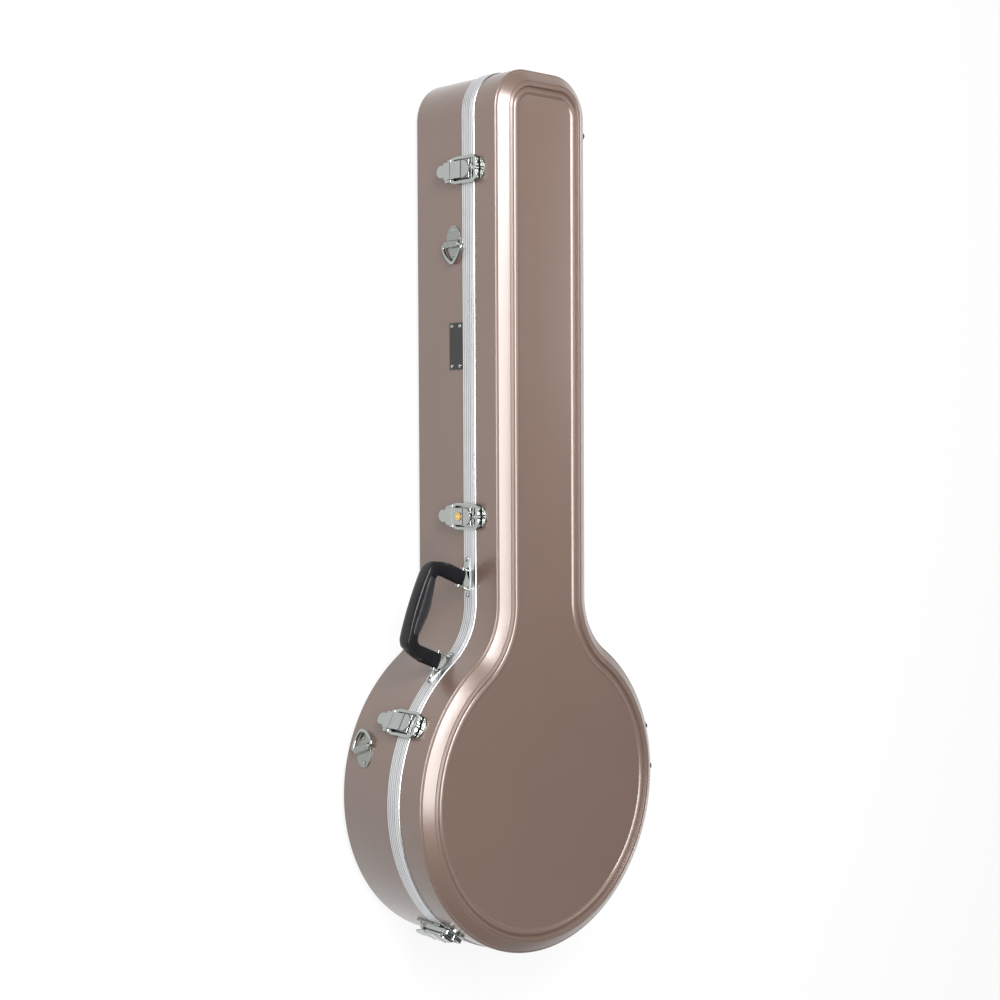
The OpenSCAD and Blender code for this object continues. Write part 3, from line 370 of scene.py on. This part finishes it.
def makeHandlePlastic(name, colour, roughness, shine, grainScale, grainDepth):
    look = handleFinish
    material, tree = newMaterial(name)
    point = objectCoords(tree)
    grain = addNode(tree, "TexVoronoi", Scale=grainScale)
    tree.links.new(point, grain.inputs["Vector"])
    cloud = addNoise(tree, point, look["cloudScale"], 3)
    shader = addShader(material, Specular_IOR_Level=shine)
    lighter = tuple(c * look["cloudShade"] for c in colour)
    smooth, rough = (roughness * share for share in look["wearRange"])
    leather = addBump(tree, grain.outputs["Distance"], look["grainStrength"], grainDepth)
    tree.links.new(mixColours(tree, cloud, colour, lighter), shader.inputs["Base Color"])
    tree.links.new(addRamp(tree, cloud, smooth, rough), shader.inputs["Roughness"])
    tree.links.new(leather, shader.inputs["Normal"])
    return material


plush = {
    "dark": (0.010, 0.010, 0.012),
    "light": (0.040, 0.040, 0.045),
    "roughness": 0.95,
    "shine": 0.1,
    "sheen": 0.6,
    "sheenRoughness": 0.4,
    "sheenTint": (0.55, 0.55, 0.60, 1),
    "pileScale": 1500,
    "pileTone": (0.0, 0.6),
    "pileStrength": 0.9,
    "pileDepth": 0.9 * mm,
    "brushStretch": (1, 2.4, 1),  # where a hand has brushed the pile
    "brushScale": 22,
    "brushTone": (0.0, 0.4),
}


def makePlush():
    look = plush
    material, tree = newMaterial("blackPlush")
    pile = addNoise(tree, objectCoords(tree), look["pileScale"], 3, 0.7)
    brushed = addNoise(tree, objectCoords(tree, look["brushStretch"]), look["brushScale"], 4, 0.6)
    pileShade = addRamp(tree, pile, *look["pileTone"])
    tone = addMath(tree, "ADD", pileShade, addRamp(tree, brushed, *look["brushTone"]))
    shader = addShader(material, Roughness=look["roughness"], Specular_IOR_Level=look["shine"],
                       Sheen_Weight=look["sheen"], Sheen_Roughness=look["sheenRoughness"],
                       Sheen_Tint=look["sheenTint"])
    tree.links.new(mixColours(tree, tone, look["dark"], look["light"]), shader.inputs["Base Color"])
    tree.links.new(addBump(tree, pile, look["pileStrength"], look["pileDepth"]), shader.inputs["Normal"])
    return material


blackPaint = {
    "dark": (0.010, 0.010, 0.011),
    "light": (0.020, 0.020, 0.021),
    "roughness": (0.30, 0.42),
    "cloudScale": 250,
    "cloudStrength": 0.1,
    "cloudDepth": 0.05 * mm,
    "edge": 0.4 * mm,
}


def makePaintedBlack():
    look = blackPaint
    material, tree = newMaterial("paintedBlack")
    cloud = addNoise(tree, objectCoords(tree), look["cloudScale"], 3)
    shader = addShader(material)
    dents = addBump(tree, cloud, look["cloudStrength"], look["cloudDepth"], roundedEdges(tree, look["edge"]))
    tree.links.new(mixColours(tree, cloud, look["dark"], look["light"]), shader.inputs["Base Color"])
    tree.links.new(addRamp(tree, cloud, *look["roughness"]), shader.inputs["Roughness"])
    tree.links.new(dents, shader.inputs["Normal"])
    return material


finish = {
    "shell": makeChampagneShell(),
    "edge": makeBrushedAluminium(),
    "plush": makePlush(),
    "plate": makePaintedBlack(),
}
finish.update({kind: makePlatedSteel(*plating[kind]) for kind in ("bright", "satin", "brass")})
finish.update({kind: makeHandlePlastic(*handleFinish[kind]) for kind in ("cap", "pad", "arm")})
print("case: finishes are made")


# tools that make the meshes

def addPiece(name, verts, faces, material, body, sharpAngle=32):
    mesh = bpy.data.meshes.new(name)
    mesh.from_pydata([tuple(v) for v in verts], [], faces)
    mesh.validate()
    mesh.update()
    piece = bpy.data.objects.new(name, mesh)
    bpy.context.scene.collection.objects.link(piece)
    mesh.materials.append(material)
    shadeByAngle(piece, sharpAngle)
    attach(piece, body)
    return piece


def shadeByAngle(piece, angle):
    piece.data.polygons.foreach_set("use_smooth", [True] * len(piece.data.polygons))
    piece.data.set_sharp_from_angle(angle=math.radians(angle))


def filletLine(points, segments=5):
    # points are (inset, height) or (inset, height, radius); each radius is set in as an arc
    line = []
    for i, p in enumerate(points):
        radius = p[2] if len(p) > 2 else 0
        here = Vector(p[:2])
        if radius == 0 or i == 0 or i == len(points) - 1:
            line.append(tuple(here))
            continue
        before = Vector(points[i - 1][:2]) - here
        after = Vector(points[i + 1][:2]) - here
        turn = before.angle(after)
        cut = min(radius / math.tan(turn / 2), before.length * 0.49, after.length * 0.49)
        start, end = here + before.normalized() * cut, here + after.normalized() * cut
        for k in range(segments + 1):
            t = k / segments
            line.append(tuple(start * (1 - t) ** 2 + here * 2 * t * (1 - t) + end * t * t))
    return line


caseOutline = {
    "potRadius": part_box("base_shell")[1].x,
    "neckEnd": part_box("base_shell")[1].y,
    "neckHalf": 74.5 * mm,
    "cornerRadius": 50 * mm,
    "waistRadius": 84 * mm,
    "arcStep": math.radians(1.6),
    "straightStep": 22 * mm,
}


def outlineStations():
    # points with their outward directions, once round the case
    pot, waist, corner = (caseOutline[k] for k in ("potRadius", "waistRadius", "cornerRadius"))
    half, neckEnd = caseOutline["neckHalf"], caseOutline["neckEnd"]
    waistX = half + waist
    waistY = math.sqrt((pot + waist) ** 2 - waistX ** 2)
    waistAngle = math.atan2(waistY, waistX)
    cornerY = neckEnd - corner
    stations = []

    def arc(cx, cy, radius, fromAngle, toAngle, outward):
        steps = max(6, round(abs(toAngle - fromAngle) * radius / (pot * caseOutline["arcStep"])))
        if radius < 0.1:
            steps = max(steps, round(abs(toAngle - fromAngle) / math.radians(5)))
        for k in range(steps):
            a = fromAngle + (toAngle - fromAngle) * k / steps
            direction = Vector((math.cos(a), math.sin(a)))
            stations.append((Vector((cx, cy)) + direction * radius, direction * outward))

    def straight(start, end, direction):
        start, end = Vector(start), Vector(end)
        steps = max(1, round((end - start).length / caseOutline["straightStep"]))
        for k in range(steps):
            stations.append((start.lerp(end, k / steps), Vector(direction)))

    straight((half, waistY), (half, cornerY), (1, 0))
    arc(half - corner, cornerY, corner, 0, math.pi / 2, 1)
    straight((half - corner, neckEnd), (corner - half, neckEnd), (0, 1))
    arc(corner - half, cornerY, corner, math.pi / 2, math.pi, 1)
    straight((-half, cornerY), (-half, waistY), (-1, 0))
    arc(-waistX, waistY, waist, 0, -waistAngle, -1)
    arc(0, 0, pot, math.pi - waistAngle, 2 * math.pi + waistAngle, 1)
    arc(waistX, waistY, waist, math.pi + waistAngle, math.pi, -1)
    return stations


stations = outlineStations()


def sweepRound(name, line, material, body, closed=False, capEnd=False, sharpAngle=32):
    # line holds (inset, height) in mm; it is carried round the outline
    verts, faces = [], []
    count = len(line)
    for place, outward in stations:
        for inset, height in line:
            p = place - outward * inset * mm
            verts.append((p.x, p.y, height * mm))
    total = len(stations)
    spans = count if closed else count - 1
    for i in range(total):
        j = (i + 1) % total
        for k in range(spans):
            m = (k + 1) % count
            faces.append((i * count + k, j * count + k, j * count + m, i * count + m))
    if capEnd:
        faces.append(tuple(i * count + count - 1 for i in range(total)))
    return addPiece(name, verts, faces, material, body, sharpAngle)


# shells

# heights, and like all the lengths of the pieces below they are in mm
levels = {
    "bandFoot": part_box("base_valance_round")[0].z / mm,
    "part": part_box("base_valance_round")[1].z / mm,
    "lidFoot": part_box("keeper_end")[0].z / mm - 0.4,
    "rim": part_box("lid_shell")[1].z / mm,
    "band": 1.5,  # how far the aluminium edge stands proud
    "gap": 0.3,
}
shellLook = {
    "wall": 3.0,
    "slopeWidth": 15.0,
    "slopeHeight": 11.5,
    "rimWidth": 5.6,
    "stepWidth": 1.5,
    "panelDrop": 3.5,
    "beadWidth": 8.9,
    "beadHeight": 2.6,
    "grooveWidth": 6.0,  # round the back face
    "grooveDepth": 2.1,
    # inset, height and radius, from the foot of the slope and from its top
    "lipLine": ((0, -0.2, 2.0), (1.8, 0.8, 0.6), (2.3, 0.7, 0.4), (3.0, 2.0, 0.7)),
    "turnLine": ((-0.4, -1.0, 0.6), (0.4, -1.9, 0.4), (3.4, 0, 1.2)),
    # where the outer and the inner skin end, from the lid's foot and from the seam
    "lidSkins": (-1, 4),
    "baseSkins": (-3.6, -4.5),
}


def beadLine(foot, width, base, height, steps=14):
    line = []
    for k in range(1, steps):
        line.append((foot + width * k / steps, base + height * math.sin(math.pi * k / steps) ** 0.8))
    return line


def slopeLine(foot, face, up):
    # the small lip, the slope and the turn to the flat rim; up is 1 on the lid and -1 on the back
    line = [(inset, foot + height * up, radius) for inset, height, radius in shellLook["lipLine"]]
    for inset, height, radius in shellLook["turnLine"]:
        line.append((shellLook["slopeWidth"] + inset, face + height * up, radius))
    return line


def makeLidShell():
    s = shellLook
    rim = levels["rim"]
    slope, panel = rim - s["slopeHeight"], rim - s["panelDrop"]
    rimIn = s["slopeWidth"] + s["rimWidth"]
    foot = rimIn + s["stepWidth"]
    beadEnd = foot + s["beadWidth"]
    outerFoot, innerFoot = (levels["lidFoot"] + reach for reach in s["lidSkins"])
    outer = [(0, outerFoot)] + slopeLine(slope, rim, 1)
    outer += [(rimIn, rim, 0.9), (foot, panel - 0.1, 0.4), (foot + 0.6, panel + 0.2)]
    outer = filletLine(outer) + beadLine(foot, s["beadWidth"], panel, s["beadHeight"])
    outer += [(beadEnd + 0.1, panel + 0.1), (beadEnd + 1.2, panel)]
    lid = sweepRound("lidShellSkin", outer, finish["shell"], "lid", capEnd=True)
    inner = filletLine([
        (s["wall"], innerFoot), (s["wall"], slope, 3), (s["slopeWidth"], panel - s["wall"], 3),
        (beadEnd, panel - s["wall"]),
    ])
    inside = sweepRound("lidShellInside", inner[::-1], finish["shell"], "lid")
    closeStart(inside, len(inner))
    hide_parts("lid_shell")


def closeStart(piece, count):
    # a face across the first point of each section; a section has count points
    mesh = bmesh.new()
    mesh.from_mesh(piece.data)
    mesh.verts.ensure_lookup_table()
    mesh.faces.new([mesh.verts[i * count] for i in range(len(stations))][::-1])
    mesh.to_mesh(piece.data)
    mesh.free()


def makeBaseShell():
    s = shellLook
    rimIn = s["slopeWidth"] + s["rimWidth"]
    groove, depth = s["grooveWidth"], s["grooveDepth"]
    outerTop, innerTop = (levels["part"] + reach for reach in s["baseSkins"])
    outer = [(0, outerTop)] + slopeLine(s["slopeHeight"], 0, -1)
    outer += [
        (rimIn, 0, 0.9), (rimIn + groove / 4, depth, 0.6), (rimIn + groove * 3 / 4, depth, 0.6),
        (rimIn + groove, 0, 0.9), (rimIn + groove + s["wall"], 0),
    ]
    outer = filletLine(outer)
    base = sweepRound("baseShellSkin", outer[::-1], finish["shell"], "base")
    closeStart(base, len(outer))
    inner = filletLine([
        (s["wall"], innerTop), (s["wall"], s["slopeHeight"], 3),
        (s["slopeWidth"] + 1, depth + s["wall"], 2), (rimIn + groove, depth + s["wall"]),
    ])
    inside = sweepRound("baseShellInside", inner, finish["shell"], "base", capEnd=True)
    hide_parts("base_shell")
    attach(inside, "base")


makeLidShell()
makeBaseShell()
print("case: shells are swept")


# aluminium edges

edgeLook = {
    "parts": ("end", "sides", "waist", "round"),
    "ribs": 6,
    "ribPitch": 2.25,
    "ribDepth": 0.42,
    "ribHalf": 0.55,
    "firstRib": 1.7,
    "cap": 3.4,
    "width": 8.4,
    "seat": 0.05,  # how far the strip is let into the case's side
    "leg": (3.0, 4.2),  # from the case's side to its outer and inner face
    "legEnds": (4, 6),  # above the foot on the base, and above the lid's strip
    "groove": (4.6, 7.0),
    "grooveDepth": 2.2,
    "tongue": (5.1, 6.5),
    "tongueHeight": 2.0,
}


def makeBaseEdge():
    e, foot, top, band = edgeLook, levels["bandFoot"], levels["part"], levels["band"]
    under, deep = top - e["cap"], top - e["grooveDepth"]
    legOut, legIn = e["leg"]
    grooveOut, grooveIn = e["groove"]
    seat, legEnd = e["seat"], foot + e["legEnds"][0]
    line = [(seat, foot, 0), (-band, foot, 0.5)]
    for k in range(e["ribs"]):
        z = foot + e["firstRib"] + k * e["ribPitch"]
        low, high = z - e["ribHalf"], z + e["ribHalf"]
        line += [(-band, low, 0.25), (e["ribDepth"] - band, z, 0.3), (-band, high, 0.25)]
    line += [
        (-band, top, 0.45), (grooveOut, top, 0.2), (grooveOut, deep), (grooveIn, deep), (grooveIn, top, 0.2),
        (e["width"], top, 0.5), (e["width"], under, 0.4), (legIn, under), (legIn, legEnd, 0.3),
        (legOut, legEnd), (legOut, under), (seat, under),
    ]
    line = filletLine(line, 3)[::-1]
    edge = sweepRound("baseEdgeStrip", line, finish["edge"], "base", closed=True)
    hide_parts(*("base_valance_" + part for part in edgeLook["parts"]))


def makeLidEdge():
    e, foot, top, band = edgeLook, levels["part"] + levels["gap"], levels["lidFoot"], levels["band"]
    over, low = foot + e["cap"], foot - e["tongueHeight"]
    legOut, legIn = e["leg"]
    tongueOut, tongueIn = e["tongue"]
    seat, legEnd = e["seat"], top + e["legEnds"][1]
    line = [
        (-band, foot, 0.4), (-band, top - 0.8, 0.9), (seat, top, 0.3), (seat, over), (legOut, over),
        (legOut, legEnd), (legIn, legEnd, 0.3), (legIn, over), (e["width"], over, 0.4),
        (e["width"], foot, 0.5), (tongueIn, foot), (tongueIn, low, 0.3), (tongueOut, low, 0.3),
        (tongueOut, foot), (1 - band, foot, 0),
    ]
    line = filletLine(line, 3)[::-1]
    edge = sweepRound("lidEdgeStrip", line, finish["edge"], "lid", closed=True)
    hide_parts(*("lid_valance_" + part for part in edgeLook["parts"]))


makeBaseEdge()
makeLidEdge()
print("case: aluminium edges are swept")


# hardware keeps its CAD form and takes its finish

nodeFinish = {"plain_plate": "plate", "lock_cylinder": "brass"}
nodeSharpAngle = 35


def finishNodes():
    # ring plates are satin, and all that isn't named above is bright
    for name, node in frame["nodes"].items():
        kind = "satin" if name.startswith("ring_plate") else nodeFinish.get(name, "bright")
        node.data.materials.clear()
        node.data.materials.append(finish[kind])
        shadeByAngle(node, nodeSharpAngle)


finishNodes()
print("case: hardware has its finish")


# handle

handle = {
    "span": 103.81,  # between the eyes
    "reach": 61.0,
    "grip": 21.5,
    "corner": 22.0,
    "inner": 7.9,
    "armHalf": 9.25,
    "armThick": 5.4,
    "gripThick": 11.4,
    "eye": 5.2,
    "eyeStep": 22.5,  # degrees
    "armSteps": 5,
    "armFlare": 0.25,  # thickness that each step adds
    "bendSteps": 10,
    "bendStart": 1.2,  # thickness that the bend starts with, above the arm's
    "gripSteps": 15,
    "swell": 4.5,
    "bow": 2.5,
    "ringCount": 36,
    "squareness": 0.82,
    "narrow": (0.30, 1.3),  # share and power of the taper towards the fingers
    "sharpAngle": 50,
    "coverSharpAngle": 60,
    "coverSteps": 26,
    "coverFade": (2.5, 1.5),  # steps and rows in which a cover comes up
    "coverDip": 0.3,  # how deep its borders are let in
    "capHalf": 0.95,  # radians from the outer side of the grip, as for the pad
    "capRise": 0.45,
    "capEnds": -7.0,
    "padFrom": 1.12,
    "padRise": 0.9,
    "padEnds": 13.0,
}


def handleFrame():
    joint = [j for j in frame["joints"] if j["name"] == "handle_turn"][0]
    along = Vector(joint["axis"]).normalized()
    outward = Vector((0, 0, 1)).cross(along)
    outward = outward if outward.x < 0 else -outward
    return Vector(joint["pos_m"]), along, outward


def handleStations(span):
    # inner edge, outer edge and half thickness, from one eye round to the other
    h = handle
    half, thin = h["armHalf"], h["armThick"]
    cross = []
    for k in range(5):
        a = math.radians(90 - h["eyeStep"] * k)
        y = -h["eye"] * math.sin(a) * 0.98
        cross.append(((half, y), (-half, y), max(1.2, h["eye"] * math.cos(a)), 0.0))
    for k in range(1, h["armSteps"]):
        y = (h["reach"] - h["grip"] - h["inner"]) * k / h["armSteps"]
        cross.append(((half, y), (-half, y), thin + h["armFlare"] * k, 0.0))
    innerC = (half + h["inner"], h["reach"] - h["grip"] - h["inner"])
    outerC = (h["corner"] - half, h["reach"] - h["bow"] - h["corner"])
    bend = thin + h["bendStart"]
    for k in range(h["bendSteps"] + 1):
        t = k / h["bendSteps"]
        a = math.pi / 2 * t
        ease = t * t * (3 - 2 * t)
        inner = (innerC[0] - h["inner"] * math.cos(a), innerC[1] + h["inner"] * math.sin(a))
        outer = (outerC[0] - h["corner"] * math.cos(a), outerC[1] * min(1, 0.4 + t) + h["corner"] * math.sin(a))
        cross.append((inner, outer, bend + (h["gripThick"] - bend) * ease, ease))
    middle = []
    for k in range(1, h["gripSteps"]):
        t = 2 * k / h["gripSteps"] - 1
        xIn = span / 2 + (span / 2 - innerC[0]) * t
        xOut = span / 2 + (span / 2 - outerC[0]) * t
        inner = (xIn, h["reach"] - h["grip"] - h["swell"] * math.cos(math.pi / 2 * t) ** 2)
        middle.append((inner, (xOut, h["reach"] - h["bow"] * t * t), h["gripThick"], 1.0))
    mirrored = [((span - i[0], i[1]), (span - o[0], o[1]), z, g) for i, o, z, g in reversed(cross)]
    return cross + middle + mirrored


def sectionPoint(angle, grip):
    # outer side at angle 0; the grip is broad outside and narrow at the fingers
    c, s = math.cos(angle), math.sin(angle)
    u = math.copysign(abs(c) ** handle["squareness"], c)
    v = math.copysign(abs(s) ** handle["squareness"], s)
    share, power = handle["narrow"]
    return u, v * (1 - grip * share * (0.5 - 0.5 * u) ** power)


def placeInHandle(x, y, z, origin, along, outward):
    p = origin + along * x * mm + outward * y * mm
    return (p.x, p.y, p.z + z * mm)


def makeHandle():
    origin, along, outward = handleFrame()
    span = handle["span"]
    rows = handleStations(span)
    count = handle["ringCount"]
    verts, faces = [], []
    for inner, outer, thick, grip in rows:
        mid = Vector(((inner[0] + outer[0]) / 2, (inner[1] + outer[1]) / 2))
        reach = Vector(outer) - mid
        for k in range(count):
            u, v = sectionPoint(2 * math.pi * k / count, grip)
            p = mid + reach * u
            verts.append(placeInHandle(p.x, p.y, thick * v, origin, along, outward))
    for i in range(len(rows) - 1):
        for k in range(count):
            m = (k + 1) % count
            faces.append((i * count + k, i * count + m, (i + 1) * count + m, (i + 1) * count + k))
    faces.append(tuple(range(count))[::-1])
    faces.append(tuple((len(rows) - 1) * count + k for k in range(count)))
    body = addPiece("handleBody", verts, faces, finish["arm"], "handle", handle["sharpAngle"])
    fixNormals(body)
    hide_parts("handle_grip")
    h, axes = handle, (origin, along, outward)
    cap, pad = h["capHalf"], h["padFrom"]
    makeGripCover("handleCap", span, -cap, cap, h["capRise"], finish["cap"], h["capEnds"], axes)
    makeGripCover("handlePad", span, pad, 2 * math.pi - pad, h["padRise"], finish["pad"], h["padEnds"], axes)


def makeGripCover(name, span, fromAngle, toAngle, rise, material, ends, axes):
    # a skin laid on part of the grip's round, thicker in its middle and let in at its borders
    rows = handleStations(span)
    steps, dip = handle["coverSteps"], handle["coverDip"]
    fadeSteps, fadeRows = handle["coverFade"]
    verts, faces = [], []
    kept = [r for r in rows if ends < (r[0][0] + r[1][0]) / 2 < span - ends and r[3] > 0.02]
    for i, (inner, outer, thick, grip) in enumerate(kept):
        mid = Vector(((inner[0] + outer[0]) / 2, (inner[1] + outer[1]) / 2))
        reach = Vector(outer) - mid
        edgeRow = min(i, len(kept) - 1 - i)
        for k in range(steps + 1):
            a = fromAngle + (toAngle - fromAngle) * k / steps
            u, v = sectionPoint(a, grip)
            border = min(1, min(k, steps - k) / fadeSteps, edgeRow / fadeRows)
            lift = -dip + (rise + dip) * math.sin(math.pi / 2 * border)
            p = mid + reach * u * (1 + lift / reach.length)
            verts.append(placeInHandle(p.x, p.y, thick * v * (1 + lift / thick), *axes))
    for i in range(len(kept) - 1):
        for k in range(steps):
            a = i * (steps + 1) + k
            faces.append((a, a + 1, a + steps + 2, a + steps + 1))
    cover = addPiece(name, verts, faces, material, "handle", handle["coverSharpAngle"])
    fixNormals(cover)


def fixNormals(piece):
    mesh = bmesh.new()
    mesh.from_mesh(piece.data)
    bmesh.ops.recalc_face_normals(mesh, faces=mesh.faces)
    mesh.to_mesh(piece.data)
    mesh.free()


makeHandle()
print("case: handle is built")


# plush linings

lining = {
    "foot": 12,
    "inset": 8.9,
    "gap": 0.5,
    "above": 200,  # cuts end above the lining
    "wellRadius": 176.0,
    "wellFloor": 20.0,
    "channelHalf": 56.0,
    "channelFloor": 58.0,
    "pocket": (238.0, 408.0),
    "head": 676.0,
    "lidRecess": 20.0,
    "cradle": (560.0, 606.0),
    "cradleTop": 100.0,
    "cradleHollow": 27.0,
    "cradleGap": (0.8, 0.3),  # to the channel's sides and floor
    "cutter": (100, 400),  # how far before the cradle it starts, and its length
    "voxel": 4.0,
    "soften": 5,
    "fill": 0.9,
}


def insetLoop(inset):
    return [place - outward * inset * mm for place, outward in stations]


def slabObject(name, loop, low, high):
    mesh = bmesh.new()
    bottom = [mesh.verts.new((p[0], p[1], low * mm)) for p in loop]
    face = mesh.faces.new(bottom)
    made = bmesh.ops.extrude_face_region(mesh, geom=[face])
    top = [g for g in made["geom"] if isinstance(g, bmesh.types.BMVert)]
    bmesh.ops.translate(mesh, verts=top, vec=(0, 0, (high - low) * mm))
    bmesh.ops.recalc_face_normals(mesh, faces=mesh.faces)
    data = bpy.data.meshes.new(name)
    mesh.to_mesh(data)
    mesh.free()
    slab = bpy.data.objects.new(name, data)
    bpy.context.scene.collection.objects.link(slab)
    return slab


def circleLoop(radius, steps=120):
    return [(radius * mm * math.cos(2 * math.pi * k / steps), radius * mm * math.sin(2 * math.pi * k / steps))
            for k in range(steps)]


def slotLoop(half, fromY, toY, corner=20.0):
    loop = []
    for cx, cy, start in ((half - corner, toY - corner, 0), (corner - half, toY - corner, 90),
                          (corner - half, fromY + corner, 180), (half - corner, fromY + corner, 270)):
        for k in range(7):
            a = math.radians(start + 15 * k)
            loop.append(((cx + corner * math.cos(a)) * mm, (cy + corner * math.sin(a)) * mm))
    return loop


def cutAway(body, cutters):
    for cutter in cutters:
        cut = body.modifiers.new("cut", "BOOLEAN")
        cut.operation = "DIFFERENCE"
        cut.solver = "EXACT"
        cut.object = cutter
    applyModifiers(body)
    for cutter in cutters:
        bpy.data.objects.remove(cutter)


def applyModifiers(piece):
    bpy.context.view_layer.update()
    graph = bpy.context.evaluated_depsgraph_get()
    data = bpy.data.meshes.new_from_object(piece.evaluated_get(graph))
    piece.modifiers.clear()
    piece.data = data


def makeSoft(piece, node, body):
    remesh = piece.modifiers.new("remesh", "REMESH")
    remesh.mode = "VOXEL"
    remesh.voxel_size = lining["voxel"] * mm
    smooth = piece.modifiers.new("soften", "SMOOTH")
    smooth.factor = 0.5
    smooth.iterations = lining["soften"]
    applyModifiers(piece)
    piece.data.materials.clear()
    piece.data.materials.append(finish["plush"])
    piece.data.polygons.foreach_set("use_smooth", [True] * len(piece.data.polygons))
    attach(piece, body)
    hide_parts(node)


def channelEnd():
    # the channel stops as far from the neck end as it lies from the neck's sides
    return (caseOutline["neckEnd"] - (caseOutline["neckHalf"] - lining["channelHalf"] * mm)) / mm


def makeBaseLining():
    l = lining
    half, floor, above, end = l["channelHalf"], l["wellFloor"], l["above"], channelEnd()
    body = slabObject("baseLining", insetLoop(l["inset"]), l["foot"], levels["part"] - l["gap"])
    cutAway(body, [
        slabObject("wellCut", circleLoop(l["wellRadius"]), floor, above),
        slabObject("channelCut", slotLoop(half, 0, end), l["channelFloor"], above),
        slabObject("pocketCut", slotLoop(half, *l["pocket"]), floor, above),
        slabObject("headCut", slotLoop(half, l["head"], end), floor, above),
    ])
    makeSoft(body, "base_liner", "base")


def makeCradle():
    l = lining
    sideGap, floorGap = l["cradleGap"]
    before, length = l["cutter"]
    half = l["channelHalf"] - sideGap
    y0, y1 = l["cradle"]
    loop = [(x * mm, y * mm) for x, y in ((-half, y0), (half, y0), (half, y1), (-half, y1))]
    block = slabObject("neckCradlePad", loop, l["channelFloor"] + floorGap, l["cradleTop"])
    rounds = []
    for k in range(48):
        a = 2 * math.pi * k / 48
        x, z = l["cradleHollow"] * math.cos(a), l["cradleTop"] + l["cradleHollow"] * math.sin(a)
        rounds.append((x * mm, z * mm))
    cutter = slabObject("cradleCut", rounds, 0, length)
    # lays the cutter down along the neck
    cutter.data.transform(Matrix(((1, 0, 0, 0), (0, 0, 1, (y0 - before) * mm), (0, 1, 0, 0), (0, 0, 0, 1))))
    fixNormals(cutter)
    cutAway(block, [cutter])
    makeSoft(block, "neck_cradle", "base")


def makeLidLining():
    l = lining
    low = levels["part"] + levels["gap"] + l["gap"]
    high = levels["rim"] - shellLook["slopeHeight"] - l["gap"]
    body = slabObject("lidLining", insetLoop(l["inset"]), low, high)
    cutAway(body, [
        slabObject("recessCut", circleLoop(l["wellRadius"]), 0, low + l["lidRecess"]),
        slabObject("lidChannelCut", slotLoop(l["channelHalf"], 0, channelEnd()), 0, low + l["lidRecess"]),
    ])
    makeSoft(body, "lid_liner", "lid")


makeBaseLining()
makeCradle()
makeLidLining()
print("case: linings are padded")
